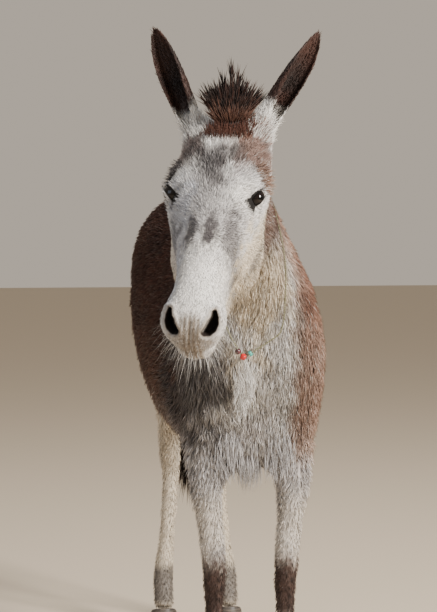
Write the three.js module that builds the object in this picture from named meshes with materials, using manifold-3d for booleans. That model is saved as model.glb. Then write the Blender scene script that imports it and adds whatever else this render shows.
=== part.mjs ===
// A life-size donkey jenny in winter coat, standing square with her head turned to her right.
// Millimetres, +Z up. She faces -Y, and +X is her left side. The solids reach the tips of the coat.
//
// The flesh is one smooth field, a signed distance that is negative inside. Each named piece is that
// field turned into a mesh at its own grain, and parted from its neighbours by thin flat cuts.
import * as THREE from "three";
import { mergeVertices } from "three/addons/utils/BufferGeometryUtils.js";
import Module from "manifold-3d";

const wasm = await Module();
wasm.setup();

// ---------------------------------------------------------------- driving dimensions
const CUT = 0.3; // half of the gap at every cut between two pieces
const POLL = new THREE.Vector3(-93, -609, 1200); // top of the head, between the ears
const HEAD_PITCH = THREE.MathUtils.degToRad(47); // nose below the level
const HEAD_YAW = THREE.MathUtils.degToRad(-16.5); // turned towards her right
const HEAD_TILT = THREE.MathUtils.degToRad(3.5); // the poll leans to her left
const HEAD_LENGTH = 508; // poll to lips
const EYE_RADIUS = 18.5;
const KNEE_CUT = 284; // height of the cut below the knee
const HOCK_CUT = 372; // height of the cut below the hock
const HOOF_HEIGHT = 60; // coronet above the ground, at the middle of the hoof
const SIDES = { left: 1, right: -1 };

// ---------------------------------------------------------------- fields
const smoothMin = (a, b, k) => {
  const h = Math.max(k - Math.abs(a - b), 0) / k;
  return Math.min(a, b) - (h * h * k) / 4;
};

// Catmull-Rom points through the rows of a table, `steps` to each stretch.
function refine(rows, steps) {
  const at = (i) => rows[THREE.MathUtils.clamp(i, 0, rows.length - 1)];
  const out = [];
  for (let i = 0; i < rows.length - 1; i++)
    for (let s = 0; s < steps; s++) {
      const t = s / steps;
      out.push(
        rows[i].map((_, c) => {
          const [p0, p1, p2, p3] = [at(i - 1)[c], at(i)[c], at(i + 1)[c], at(i + 2)[c]];
          return (
            p1 +
            0.5 * t * (p2 - p0 + t * (2 * p0 - 5 * p1 + 4 * p2 - p3 + t * (3 * (p1 - p2) + p3 - p0)))
          );
        }),
      );
    }
  out.push(rows[rows.length - 1]);
  return out;
}

// The field of a tapering length of body. Each station is [x, y, z, half width, half depth, pinch].
// Width lies along `across`; depth is square to it and to the run. A pinch above 0 narrows the side
// that `across` x run points to, as a ridged back or a nose is narrower than what lies under it.
// A cap of 1 rounds the ends fully, and less makes them blunter.
function limb(stations, { across = [1, 0, 0], cap = 1, steps = 4 } = {}) {
  const spans = [];
  const rows = refine(
    stations.map((s) => [...s, 0].slice(0, 6)),
    steps,
  );
  const box = new THREE.Box3();
  for (let i = 1; i < rows.length; i++) {
    const a = new THREE.Vector3(...rows[i - 1]);
    const b = new THREE.Vector3(...rows[i]);
    const run = b.clone().sub(a);
    const length = run.length();
    run.normalize();
    const u = new THREE.Vector3(...across);
    u.addScaledVector(run, -u.dot(run)).normalize();
    const v = new THREE.Vector3().crossVectors(u, run);
    spans.push({ a, run, length, u, v, from: rows[i - 1], to: rows[i] });
    const reach = Math.max(rows[i][3], rows[i][4], rows[i - 1][3], rows[i - 1][4]);
    box.union(new THREE.Box3().setFromPoints([a, b]).expandByScalar(reach));
  }
  const spanDistance = ({ a, run, length, u, v, from, to }, x, y, z) => {
    const [px, py, pz] = [x - a.x, y - a.y, z - a.z];
    const along = px * run.x + py * run.y + pz * run.z;
    const inside = Math.min(Math.max(along, 0), length);
    const t = inside / length;
    const width = from[3] + (to[3] - from[3]) * t;
    const depth = from[4] + (to[4] - from[4]) * t;
    const pinch = from[5] + (to[5] - from[5]) * t;
    const dv = px * v.x + py * v.y + pz * v.z;
    const squeeze = 1 - pinch * THREE.MathUtils.clamp(dv / depth, -1, 1);
    const du = (px * u.x + py * u.y + pz * u.z) / squeeze;
    const dw = along - inside;
    const end = cap * Math.min(width, depth);
    const k0 = Math.hypot(du / width, dv / depth, dw / end);
    const k1 = Math.hypot(du / width ** 2, dv / depth ** 2, dw / end ** 2);
    return k1 > 0 ? (k0 * (k0 - 1)) / k1 : -end;
  };
  return (x, y, z) => {
    const outX = Math.max(box.min.x - x, x - box.max.x);
    const outY = Math.max(box.min.y - y, y - box.max.y);
    const outZ = Math.max(box.min.z - z, z - box.max.z);
    const out = Math.max(outX, outY, outZ);
    if (out > 120) return out;
    let best = Infinity;
    for (const s of spans) best = Math.min(best, spanDistance(s, x, y, z));
    return best;
  };
}

// An ellipsoid, with an optional turn about X, such as a muscle.
function lobe([cx, cy, cz], [rx, ry, rz], tilt = 0) {
  const [c, s] = [Math.cos(tilt), Math.sin(tilt)];
  return (x, y, z) => {
    const [px, qy, qz] = [x - cx, y - cy, z - cz];
    const [py, pz] = [qy * c + qz * s, qz * c - qy * s];
    const k0 = Math.hypot(px / rx, py / ry, pz / rz);
    const k1 = Math.hypot(px / rx ** 2, py / ry ** 2, pz / rz ** 2);
    return k1 > 0 ? (k0 * (k0 - 1)) / k1 : -Math.min(rx, ry, rz);
  };
}

// ---------------------------------------------------------------- trunk
// Breast, shoulders, deep round belly, flank and rump, from front to back.
const trunkField = limb(
  [
    [0, -380, 798, 88, 160, 0.36],
    [0, -345, 800, 110, 200, 0.46],
    [0, -280, 808, 138, 262, 0.54],
    [0, -200, 816, 159, 296, 0.52],
    [0, -100, 806, 176, 291, 0.42],
    [0, 20, 794, 188, 281, 0.2],
    [0, 140, 794, 192, 271, 0.02],
    [0, 260, 822, 185, 262, -0.06],
    [0, 370, 852, 171, 246, -0.1],
    [0, 460, 880, 160, 212, -0.08],
    [0, 520, 900, 140, 176, -0.04],
    [0, 556, 912, 110, 140, 0],
  ],
  { cap: 0.55 },
);
const breast = lobe([56, -375, 750], [66, 62, 92]);
const sternum = lobe([0, -270, 570], [64, 120, 60]);

// ---------------------------------------------------------------- legs, as her left ones
const foreField = limb([
  [78, -315, 880, 40, 92],
  [94, -312, 770, 50, 98],
  [95, -300, 665, 48, 84],
  [92, -292, 575, 43, 64],
  [90, -296, 485, 40, 50],
  [83, -301, 405, 30, 37],
  [74.5, -305, 350, 31, 36],
  [72, -306, 316, 34, 37],
  [72, -301, 280, 26, 29],
  [73, -298, 235, 22, 27],
  [74, -298, 180, 22, 27],
  [75, -297, 138, 29, 33],
  [75, -307, 104, 25, 27],
  [76, -320, 74, 28, 31],
  [76, -328, 40, 30, 34],
]);
const elbow = lobe([104, -238, 610], [38, 46, 64]);
const hindField = limb([
  [78, 410, 940, 62, 128],
  [90, 420, 830, 54, 140],
  [96, 398, 720, 44, 116],
  [90, 412, 620, 38, 84],
  [76, 464, 540, 28, 54],
  [67, 508, 475, 29, 42],
  [58, 532, 428, 32, 42],
  [57, 536, 388, 27, 33],
  [60, 532, 330, 22.5, 28],
  [68, 526, 235, 22.5, 27],
  [74, 523, 175, 24, 29],
  [78, 520, 138, 31, 34],
  [79, 508, 103, 26, 28],
  [80, 496, 74, 28.5, 31],
  [80, 488, 40, 30, 34],
]);
const hamstring = limb([
  [84, 520, 860, 50, 74],
  [86, 532, 740, 40, 62],
  [78, 518, 640, 28, 46],
  [70, 542, 560, 15, 24],
  [60, 574, 486, 15, 17],
  [58, 570, 448, 20, 22],
]);

// ---------------------------------------------------------------- neck
// A straight thick neck, from just behind the jaw down to the shoulders.
const NECK_ACROSS = [0.985, -0.17, 0];
const NECK = [
  [-82, -552, 1078, 76, 92, 0.15],
  [-72, -515, 1050, 77, 106, 0.24],
  [-52, -462, 1015, 78, 124, 0.34],
  [-34, -410, 978, 80, 144, 0.4],
  [-16, -350, 940, 84, 166, 0.42],
  [0, -280, 900, 92, 184, 0.42],
];
const neckField = limb(NECK, { across: NECK_ACROSS });

// ---------------------------------------------------------------- head
// The head is described level, facing -Y with the poll at its origin, then turned into place.
const headTurn = new THREE.Matrix4()
  .makeRotationFromEuler(new THREE.Euler(HEAD_PITCH, HEAD_TILT, HEAD_YAW, "YZX"))
  .setPosition(POLL);
const headTurnBack = headTurn.clone().invert();
const inHead = (x, y, z) => new THREE.Vector3(x, y, z).applyMatrix4(headTurn);

const skull = limb([
  [0, 30 - HEAD_LENGTH, -68, 38, 36],
  [0, -448, -60, 49, 52, -0.12],
  [0, -400, -56, 45, 54, -0.2],
  [0, -340, -60, 46, 60, -0.15],
  [0, -275, -64, 56, 70, -0.15],
  [0, -210, -68, 78, 80, -0.05],
  [0, -140, -66, 92, 84, 0],
  [0, -85, -66, 92, 80, 0],
  [0, -35, -68, 82, 74, 0],
  [0, 0, -72, 74, 66, 0],
], { cap: 0.6 });
const jaw = limb([
  [0, 62 - HEAD_LENGTH, -123, 35, 30],
  [0, -385, -128, 39, 44],
  [0, -315, -146, 43, 62],
  [0, -245, -156, 48, 68],
  [0, -165, -154, 49, 60],
  [0, -110, -140, 47, 56],
]);
const cheek = lobe([44, -200, -146], [42, 92, 66]);
const orbit = lobe([60, -176, -22], [34, 46, 32]);
const nostrilWing = lobe([41, -448, -50], [21, 32, 30]);
const facialCrest = limb([
  [60, -205, -54, 14, 16],
  [48, -300, -78, 9, 12],
]);

// Where each ear stands: a short mound from inside the skull to the foot of the ear.
const EAR_AT = {
  right: { base: [-142, -567, 1170], tip: [-213, -518, 1368], facing: [-0.6, -0.8, 0.1] },
  left: { base: [-34, -613, 1176], tip: [80, -593, 1358], facing: [0.6, -0.8, 0.1] },
};
const earMounds = Object.entries(EAR_AT).map(([name, { base, tip }]) => {
  const inside = inHead(30 * SIDES[name], -40, -60);
  const top = base.map((b, i) => b + 0.1 * (tip[i] - b));
  return limb([[...inside, 40, 40], [...base, 31, 31], [...top, 25, 25]], { cap: 0.6 });
});

function headField(x, y, z) {
  const e = headTurnBack.elements;
  const hx = Math.abs(e[0] * x + e[4] * y + e[8] * z + e[12]);
  const hy = e[1] * x + e[5] * y + e[9] * z + e[13];
  const hz = e[2] * x + e[6] * y + e[10] * z + e[14];
  let d = smoothMin(skull(hx, hy, hz), jaw(hx, hy, hz), 34);
  d = smoothMin(d, cheek(hx, hy, hz), 30);
  d = smoothMin(d, facialCrest(hx, hy, hz), 24);
  d = smoothMin(d, orbit(hx, hy, hz), 24);
  d = smoothMin(d, nostrilWing(hx, hy, hz), 20);
  return smoothMin(d, Math.min(...earMounds.map((mound) => mound(x, y, z))), 22);
}

// ---------------------------------------------------------------- the whole flesh
function bodyField(x, y, z) {
  const ax = Math.abs(x);
  let d = smoothMin(trunkField(x, y, z), breast(ax, y, z), 50);
  d = smoothMin(d, sternum(x, y, z), 60);
  const fore = smoothMin(foreField(ax, y, z), elbow(ax, y, z), 30);
  const hind = smoothMin(hindField(ax, y, z), hamstring(ax, y, z), 34);
  return smoothMin(d, Math.min(fore, hind), 40);
}
const flesh = (x, y, z) =>
  smoothMin(smoothMin(bodyField(x, y, z), neckField(x, y, z), 44), headField(x, y, z), 26);

// ---------------------------------------------------------------- from a field to a mesh
// Surface nets: one vertex in each cell that the surface crosses, one quad across each crossed edge.
// `grow` moves the surface out by that much. The field is closed off at the box.
function netGeometry(field, lo, hi, cell, grow = 0) {
  const n = [0, 1, 2].map((i) => Math.ceil((hi[i] - lo[i]) / cell[i]) + 1);
  const index = (i, j, k) => i + n[0] * (j + n[1] * k);
  const values = new Float64Array(n[0] * n[1] * n[2]);
  for (let k = 0; k < n[2]; k++)
    for (let j = 0; j < n[1]; j++)
      for (let i = 0; i < n[0]; i++) {
        const rim = i === 0 || j === 0 || k === 0 || i === n[0] - 1 || j === n[1] - 1 || k === n[2] - 1;
        const d = field(lo[0] + i * cell[0], lo[1] + j * cell[1], lo[2] + k * cell[2]) - grow;
        values[index(i, j, k)] = rim ? Math.max(d, 1e-3) : d || 1e-9;
      }
  const vertices = [];
  const cellVertex = new Map();
  const corners = [0, 1, 2, 3, 4, 5, 6, 7].map((c) => [c & 1, (c >> 1) & 1, (c >> 2) & 1]);
  const vertexOf = (i, j, k) => {
    const key = index(i, j, k);
    if (cellVertex.has(key)) return cellVertex.get(key);
    const v = corners.map(([a, b, c]) => values[index(i + a, j + b, k + c)]);
    const sum = [0, 0, 0];
    let count = 0;
    for (let a = 0; a < 8; a++)
      for (const axis of [1, 2, 4]) {
        const b = a | axis;
        if (a & axis || v[a] < 0 === v[b] < 0) continue;
        const t = v[a] / (v[a] - v[b]);
        for (let c = 0; c < 3; c++) sum[c] += corners[a][c] + t * (corners[b][c] - corners[a][c]);
        count++;
      }
    const at = [i, j, k];
    vertices.push(...sum.map((s, c) => lo[c] + (at[c] + s / count) * cell[c]));
    cellVertex.set(key, vertices.length / 3 - 1);
    return vertices.length / 3 - 1;
  };
  const triangles = [];
  for (let k = 0; k < n[2] - 1; k++)
    for (let j = 0; j < n[1] - 1; j++)
      for (let i = 0; i < n[0] - 1; i++) {
        const here = values[index(i, j, k)] < 0;
        const next = [index(i + 1, j, k), index(i, j + 1, k), index(i, j, k + 1)];
        next.forEach((other, axis) => {
          if (here === values[other] < 0) return;
          const [p, q] = [(axis + 1) % 3, (axis + 2) % 3];
          const ring = [[0, 0], [1, 0], [1, 1], [0, 1]].map(([a, b]) => {
            const c = [i, j, k];
            c[p] -= 1 - a;
            c[q] -= 1 - b;
            return vertexOf(...c);
          });
          if (!here) ring.reverse();
          triangles.push(ring[0], ring[1], ring[2], ring[0], ring[2], ring[3]);
        });
      }
  return geometryFrom(vertices, triangles);
}

// ---------------------------------------------------------------- solids
function geometryFrom(vertices, triangles) {
  const geometry = new THREE.BufferGeometry();
  geometry.setAttribute("position", new THREE.Float32BufferAttribute(vertices, 3));
  geometry.setIndex(triangles);
  geometry.userData.shared = true; // its triangles already share their corners
  return geometry;
}

// A closed skin over rings of points that all have the same count.
function tube(rings) {
  const around = rings[0].length;
  const triangles = [];
  for (let r = 1; r < rings.length; r++)
    for (let i = 0; i < around; i++) {
      const [a, b] = [(r - 1) * around + i, (r - 1) * around + ((i + 1) % around)];
      triangles.push(a, b + around, b, a, a + around, b + around);
    }
  const top = (rings.length - 1) * around;
  for (let i = 1; i < around - 1; i++) {
    triangles.push(0, i, i + 1);
    triangles.push(top, top + i + 1, top + i);
  }
  return geometryFrom(rings.flat(2), triangles);
}

// Turns every face round, after a mirroring.
function flip(geometry) {
  const faces = geometry.index.array;
  for (let i = 0; i < faces.length; i += 3) [faces[i + 1], faces[i + 2]] = [faces[i + 2], faces[i + 1]];
}

function solidOf(geometry) {
  const bare = geometry.clone();
  bare.deleteAttribute("normal");
  bare.deleteAttribute("uv");
  const merged = geometry.userData.shared ? bare : mergeVertices(bare, 1e-4);
  return new wasm.Manifold(
    new wasm.Mesh({
      numProp: 3,
      vertProperties: merged.attributes.position.array,
      triVerts: new Uint32Array(merged.index.array),
    }),
  );
}

function geometryOf(solid) {
  const mesh = solid.getMesh();
  const geometry = new THREE.BufferGeometry();
  geometry.setAttribute("position", new THREE.BufferAttribute(mesh.vertProperties, 3));
  geometry.setIndex(new THREE.BufferAttribute(mesh.triVerts, 1));
  geometry.computeVertexNormals();
  return geometry;
}

// Everything on the side of a plane that its normal points to, shifted along the normal by `shift`.
function beyond(point, normal, shift = 0) {
  const size = 4000;
  const n = new THREE.Vector3(...normal).normalize();
  const box = new THREE.BoxGeometry(size, size, size).translate(0, 0, size / 2);
  box.applyQuaternion(new THREE.Quaternion().setFromUnitVectors(new THREE.Vector3(0, 0, 1), n));
  const at = new THREE.Vector3(...point).addScaledVector(n, shift);
  return solidOf(box.translate(at.x, at.y, at.z));
}

const piece = (lo, hi, cell) => solidOf(netGeometry(flesh, lo, hi, cell));
// The same, on a grid that is laid along the head.
function headPiece(lo, hi, cell) {
  const e = headTurn.elements;
  const level = (x, y, z) =>
    flesh(
      e[0] * x + e[4] * y + e[8] * z + e[12],
      e[1] * x + e[5] * y + e[9] * z + e[13],
      e[2] * x + e[6] * y + e[10] * z + e[14],
    );
  const net = netGeometry(level, lo, hi, cell);
  return solidOf(net.applyMatrix4(headTurn));
}
const largest = (solid) =>
  solid.decompose().reduce((a, b) => (b.volume() > a.volume() ? b : a));

// ---------------------------------------------------------------- the cuts
const headCut = [inHead(0, 66, 0).toArray(), [0.28, 0.86, 0.42]];
const throatNormal = new THREE.Vector3(0, 0.35, -0.94).transformDirection(headTurn).toArray();
const throatCut = [inHead(0, -100, -215).toArray(), throatNormal];
const behindHead = (shift) => beyond(...headCut, shift).add(beyond(...throatCut, shift));
const neckCut = [[0, -318, 900], [0.05, 0.86, -0.5]];
const foreRegion = (shift) =>
  beyond([40, 0, 0], [1, 0, 0], shift)
    .intersect(beyond([40, 0, 556], [0.84, 0, -0.54], shift))
    .intersect(beyond([0, -188, 0], [0, -1, 0], shift));
const hindRegion = (shift) =>
  beyond([34, 0, 0], [1, 0, 0], shift)
    .intersect(beyond([34, 0, 640], [0.85, 0, -0.52], shift))
    .intersect(beyond([0, 268, 0], [0, 1, 0.12], shift));
const mirrored = (solid, side) => (side < 0 ? solid.mirror([1, 0, 0]) : solid);

// ---------------------------------------------------------------- ears
// A leaf of gristle curled into a trumpet. Each station is
// [share of the length, half width when flat, half curl in degrees, thickness].
const EAR = [
  [0, 56, 150, 14],
  [0.15, 58, 140, 11],
  [0.38, 52, 118, 9],
  [0.6, 45, 98, 8],
  [0.8, 32, 80, 7],
  [0.93, 18, 66, 6],
  [1, 5, 50, 4],
];
const EAR_FACETS = 6; // across the leaf
const EAR_ROOT = 0.2; // share of the length that stands on the head as the ear's root

// One end of the ear's leaf to the other, along the outside and back along the inside.
function earRing([share, flat, curl, thickness], base, run, open) {
  const half = THREE.MathUtils.degToRad(curl);
  const radius = flat / half;
  const centre = radius - 21 * (1 - share ** 2);
  const across = new THREE.Vector3().crossVectors(run, open);
  const point = (turn, r) =>
    base
      .clone()
      .add(run.clone().multiplyScalar(share))
      .addScaledVector(across.clone().setLength(1), Math.sin(turn) * r)
      .addScaledVector(open, centre - Math.cos(turn) * r);
  const ring = [];
  for (let i = 0; i <= EAR_FACETS; i++) ring.push(point(half * ((2 * i) / EAR_FACETS - 1), radius));
  for (let i = EAR_FACETS; i >= 0; i--) {
    const part = (2 * i) / EAR_FACETS - 1;
    const inner = radius - thickness * (1 - 0.45 * part ** 2);
    ring.push(point(half * part * 0.985, Math.max(inner, 2.5)));
  }
  return ring;
}

function earGeometry(base, tip, facing) {
  const run = new THREE.Vector3().subVectors(tip, base);
  const open = facing.clone().addScaledVector(run, -facing.dot(run) / run.lengthSq()).normalize();
  const rings = refine(EAR, 1).map((station) => earRing(station, base, run, open));
  const around = rings[0].length;
  const triangles = [];
  const quad = (a, b, c, d) => triangles.push(a, b, c, a, c, d);
  for (let r = 1; r < rings.length; r++)
    for (let i = 0; i < around; i++) {
      const j = (i + 1) % around;
      quad((r - 1) * around + i, r * around + i, r * around + j, (r - 1) * around + j);
    }
  const top = (rings.length - 1) * around;
  for (let i = 0; i < EAR_FACETS; i++) {
    const [j, k, l] = [i + 1, around - 2 - i, around - 1 - i];
    quad(i, j, k, l);
    quad(top + l, top + k, top + j, top + i);
  }
  return geometryFrom(rings.flat().flatMap((p) => p.toArray()), triangles);
}

const EARS = {};
for (const [name, ear] of Object.entries(EAR_AT)) {
  const [base, tip, facing] = [ear.base, ear.tip, ear.facing].map((p) => new THREE.Vector3(...p));
  const run = tip.clone().sub(base);
  const foot = base.clone().addScaledVector(run, EAR_ROOT);
  EARS[name] = { solid: solidOf(earGeometry(base, tip, facing)), cut: [foot.toArray(), run.toArray()] };
}

// ---------------------------------------------------------------- eyes and nostrils
const EYE = { at: [73, -173.8, -27.9], out: [0.72, -0.42, 0.55], along: [0.6, 0.72, -0.25] };
function eyeFrame(side) {
  const out = new THREE.Vector3(...EYE.out).normalize();
  const along = new THREE.Vector3(...EYE.along);
  along.addScaledVector(out, -along.dot(out)).normalize();
  const up = new THREE.Vector3().crossVectors(out, along);
  const frame = new THREE.Matrix4().makeBasis(along, up, out).setPosition(...EYE.at);
  return frame.premultiply(new THREE.Matrix4().makeScale(side, 1, 1)).premultiply(headTurn);
}
// A ball or an ellipsoid in a frame that may be mirrored.
function ballSolid(radii, [x, y, z], frame, across = 20, high = 14) {
  const ball = new THREE.SphereGeometry(1, across, high).scale(...radii).translate(x, y, z);
  ball.applyMatrix4(frame);
  if (frame.determinant() < 0) flip(ball);
  return solidOf(ball);
}
const eyeball = (side, radius) => ballSolid([radius, radius, radius], [0, 0, 0], eyeFrame(side), 12, 8);
// The opening between the lids.
const eyeOpening = (side) => ballSolid([19, 8, 17], [-5, 4, EYE_RADIUS - 1], eyeFrame(side), 10, 6);

// A nostril is a comma, wide low and near the middle, thin high and to the side.
const NOSTRIL = [
  [40, -440, -30, 7],
  [41, -460, -36, 9],
  [29, -476, -46, 9],
];
function nostril(side) {
  const frame = headTurn.clone().multiply(new THREE.Matrix4().makeScale(side, 1, 1));
  return NOSTRIL
    .map(([x, y, z, wide]) => ballSolid([wide, 24, 17], [x, y - 2, z + 4], frame, 8, 5))
    .reduce((a, b) => a.add(b));
}

// ---------------------------------------------------------------- head and neck
// The bed of the forelock: a flat on the poll between the two ears.
const pollFlat = [inHead(4, -16, -8).toArray(), [-0.1, -0.35, 0.93]];
function forelockBed(shift) {
  const across = new THREE.Vector3(1, 0, 0).transformDirection(headTurn).toArray();
  return beyond(...pollFlat, shift)
    .intersect(beyond(inHead(-36, 0, 0).toArray(), across, shift))
    .subtract(beyond(inHead(46, 0, 0).toArray(), across, -shift));
}
function head() {
  let solid = headPiece([-135, -560, -260], [135, 120, 90], [18, 27, 20]);
  solid = solid.subtract(behindHead(-CUT)).subtract(forelockBed(-CUT));
  solid = largest(solid);
  for (const ear of Object.values(EARS)) solid = solid.add(ear.solid.subtract(beyond(...ear.cut, -CUT)));
  solid = solid.subtract(behindHead(-CUT));
  for (const side of Object.values(SIDES)) {
    solid = solid.subtract(eyeball(side, EYE_RADIUS + CUT)).subtract(eyeOpening(side));
    solid = solid.subtract(nostril(side));
  }
  return largest(solid);
}
function neck() {
  const solid = piece([-260, -720, 620], [240, -120, 1290], [33, 36, 33]);
  return largest(
    solid.intersect(behindHead(CUT)).subtract(beyond(...neckCut, -CUT)).subtract(mane(CUT)),
  );
}

// ---------------------------------------------------------------- mane and forelock
// A short upright blade of hair set into the crest. `grow` widens the part that the neck is cut by.
function mane(grow) {
  const rows = refine(NECK, 3).slice(2, -3);
  const longer = (end, next) => end.map((value, k) => value + (value - next[k]) * 0.08 * grow);
  if (grow > 0) {
    rows[0] = longer(rows[0], rows[1]);
    rows[rows.length - 1] = longer(rows.at(-1), rows.at(-2));
  }
  const rings = rows.map(([x, y, z, , depth], i) => {
    const ends = Math.min(1, 0.35 + 0.65 * Math.sin((Math.PI * i) / (rows.length - 1)));
    const point = (side, rise) => [
      x + 0.03 * (depth + rise) + side * (9 + grow),
      y + 0.5 * (depth + rise) + side * 1.6,
      z + 0.86 * (depth + rise),
    ];
    const tall = 44 * ends;
    const root = -26 - grow;
    return [
      point(-1, root),
      point(1, root),
      point(0.9, tall * 0.5),
      point(0, tall),
      point(-0.9, tall * 0.5),
    ];
  });
  return solidOf(tube(rings));
}
// A fan of spiky hair on the poll.
const FORELOCK_SPIKES = 11;
function forelock(flesh) {
  const at = POLL.clone().add(new THREE.Vector3(6, 0, -10));
  let lock = solidOf(new THREE.SphereGeometry(1, 12, 8).scale(34, 24, 30).translate(...at));
  for (let i = 0; i < FORELOCK_SPIKES; i++) {
    const lean = THREE.MathUtils.degToRad(-50 + (100 * i) / (FORELOCK_SPIKES - 1));
    const height = 102 - 34 * Math.abs(Math.sin(lean)) + (i % 2 ? 6 : 0);
    const spike = new THREE.ConeGeometry(14, height, 5).translate(0, height / 2, 0);
    spike.rotateX(Math.PI / 2 + (i % 2 ? 0.1 : -0.1)).rotateY(lean);
    spike.translate(at.x + 14 * Math.sin(lean), at.y, at.z + 2);
    lock = lock.add(solidOf(spike));
  }
  return largest(lock.intersect(beyond(...pollFlat, CUT)).subtract(flesh));
}

// ---------------------------------------------------------------- trunk and legs
const TRUNK_CELL = [47, 56, 48];
function trunk() {
  let solid = piece([-240, -520, 430], [240, 700, 1200], TRUNK_CELL);
  solid = solid.intersect(beyond(...neckCut, CUT));
  for (const side of Object.values(SIDES))
    solid = solid
      .subtract(mirrored(foreRegion(-CUT), side))
      .subtract(mirrored(hindRegion(-CUT), side));
  return largest(solid.add(tailSolid.subtract(beyond(...tailCut, -CUT))));
}
// A leg from the trunk to the coronet: the fleshy part, and the thin part below knee or hock.
function upperLeg(region, lo, hi, cut) {
  const solid = piece(lo, hi, [20, 26, 50]).intersect(region(CUT));
  return largest(solid.intersect(beyond([0, 0, cut], [0, 0, 1], CUT)));
}
function lowerLeg(lo, hi, cut, hoofAt) {
  const solid = piece([lo[0], lo[1], 0], [hi[0], hi[1], cut + 30], [12.5, 14.5, 42]);
  const below = solid.subtract(beyond([0, 0, cut], [0, 0, 1], -CUT));
  return largest(below.intersect(beyond([...hoofAt, HOOF_HEIGHT], CORONET_TILT, CUT)));
}

// ---------------------------------------------------------------- tail
const tailField = limb([
  [0, 575, 1015, 30, 26],
  [0, 622, 978, 26, 22],
  [0, 648, 900, 21, 19],
  [0, 652, 790, 18, 17],
  [0, 650, 690, 17, 16],
  [0, 648, 625, 21, 20],
  [0, 647, 560, 29, 27],
  [0, 645, 480, 31, 28],
  [0, 642, 410, 22, 21],
  [0, 640, 350, 7, 7],
]);
const tailSolid = solidOf(netGeometry(tailField, [-51, 590, 310], [51, 700, 1010], [15, 15, 42]));
const tailCut = [[0, 634, 950], [0, 0.3, -0.95]];
const TAIL_TUFT = 655; // height where the long hair of the switch starts

// ---------------------------------------------------------------- hooves
// Narrow upright hooves with a flat sole. The wall slopes forward from the coronet to the toe.
const CORONET_TILT = [0, 0.3, 1]; // lower at the heel
function hoof(x, y) {
  const [top, bottom, slope, height] = [29, 37, 0.24, HOOF_HEIGHT + 24];
  const shape = new THREE.CylinderGeometry(top, bottom, height, 16, 2).rotateX(Math.PI / 2);
  shape.translate(0, 0, height / 2);
  const p = shape.attributes.position;
  for (let i = 0; i < p.count; i++) {
    const [px, py, pz] = [p.getX(i), p.getY(i), p.getZ(i)];
    const narrow = py > 0 ? 1 - (0.12 * py) / bottom : 1;
    p.setXYZ(i, px * narrow, py * (py > 0 ? 0.9 : 1.12) - (height - pz) * slope, pz);
  }
  const solid = solidOf(shape.translate(x, y + slope * height, 0));
  return solid.subtract(beyond([x, y, HOOF_HEIGHT], CORONET_TILT, -CUT));
}

// ---------------------------------------------------------------- collar
// A thin cord tied round the base of the neck, with beads at the throat.
const COLLAR = { low: [-38, -450, 745], high: [-66, -488, 1118], cord: 2.6, clear: 9 };
const COLLAR_TURNS = 40;
function collarPath() {
  const low = new THREE.Vector3(...COLLAR.low);
  const high = new THREE.Vector3(...COLLAR.high);
  const middle = low.clone().add(high).multiplyScalar(0.5);
  const up = high.clone().sub(low).normalize();
  const aside = new THREE.Vector3(1, 0, 0).addScaledVector(up, -up.x).normalize();
  const step = (2 * Math.PI) / COLLAR_TURNS;
  const rays = Array.from({ length: COLLAR_TURNS }, (_, i) =>
    aside.clone().multiplyScalar(Math.sin(step * i)).addScaledVector(up, -Math.cos(step * i)),
  );
  const reach = rays.map((dir) => {
    let r = 40;
    for (let s = 0; s < 80; s++) {
      const gap = flesh(...middle.clone().addScaledVector(dir, r));
      r += 0.7 * (COLLAR.clear - gap);
    }
    return r;
  });
  // The cord is taut, so it runs straight over every hollow.
  for (let pass = 0; pass < 200; pass++)
    for (let i = 0; i < COLLAR_TURNS; i++) {
      const [before, after] = [reach.at(i - 1), reach[(i + 1) % COLLAR_TURNS]];
      reach[i] = Math.max(reach[i], (2 * Math.cos(step)) / (1 / before + 1 / after));
    }
  const points = rays.map((dir, i) => middle.clone().addScaledVector(dir, reach[i]));
  return new THREE.CatmullRomCurve3(points, true);
}
const collar = collarPath();
const cord = (grow = 0) => solidOf(new THREE.TubeGeometry(collar, 48, COLLAR.cord + grow, 4, true));
// A bead threaded on the cord, at a share of the way round from the throat.
function bead(share, radius, length) {
  const bore = COLLAR.cord + 1.2;
  const half = length / 2;
  const rim = (bore + radius) / 2;
  const profile = [
    [bore, -half],
    [rim, -half],
    [radius, -half * 0.4],
    [radius, half * 0.4],
    [rim, half],
    [bore, half],
    [bore, -half],
  ].map(([r, h]) => new THREE.Vector2(r, h));
  const at = collar.getPointAt((share + 1) % 1);
  const turn = new THREE.Quaternion().setFromUnitVectors(
    new THREE.Vector3(0, 1, 0),
    collar.getTangentAt((share + 1) % 1),
  );
  const lathe = new THREE.LatheGeometry(profile, 8).applyQuaternion(turn);
  return solidOf(lathe.translate(at.x, at.y, at.z)).subtract(cord(CUT));
}

// ---------------------------------------------------------------- the animal
const group = new THREE.Group();
const COLOURS = {
  greyFur: [0x8d857c, 0.95],
  brownFur: [0x5a4034, 0.95],
  paleFur: [0xb3a898, 0.95],
  darkFur: [0x2c211c, 0.95],
  horn: [0x3a3430, 0.6],
  eye: [0x100c0a, 0.1],
  cord: [0x6d6b3c, 0.85],
  red: [0xa8231f, 0.3],
  darkGlass: [0x1d1b22, 0.3],
  turquoise: [0x2f8f8c, 0.35],
};
function add(name, solid, [color, roughness]) {
  const material = new THREE.MeshStandardMaterial({ color, roughness, metalness: 0 });
  const mesh = new THREE.Mesh(geometryOf(solid), material);
  mesh.name = name;
  group.add(mesh);
}

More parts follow.
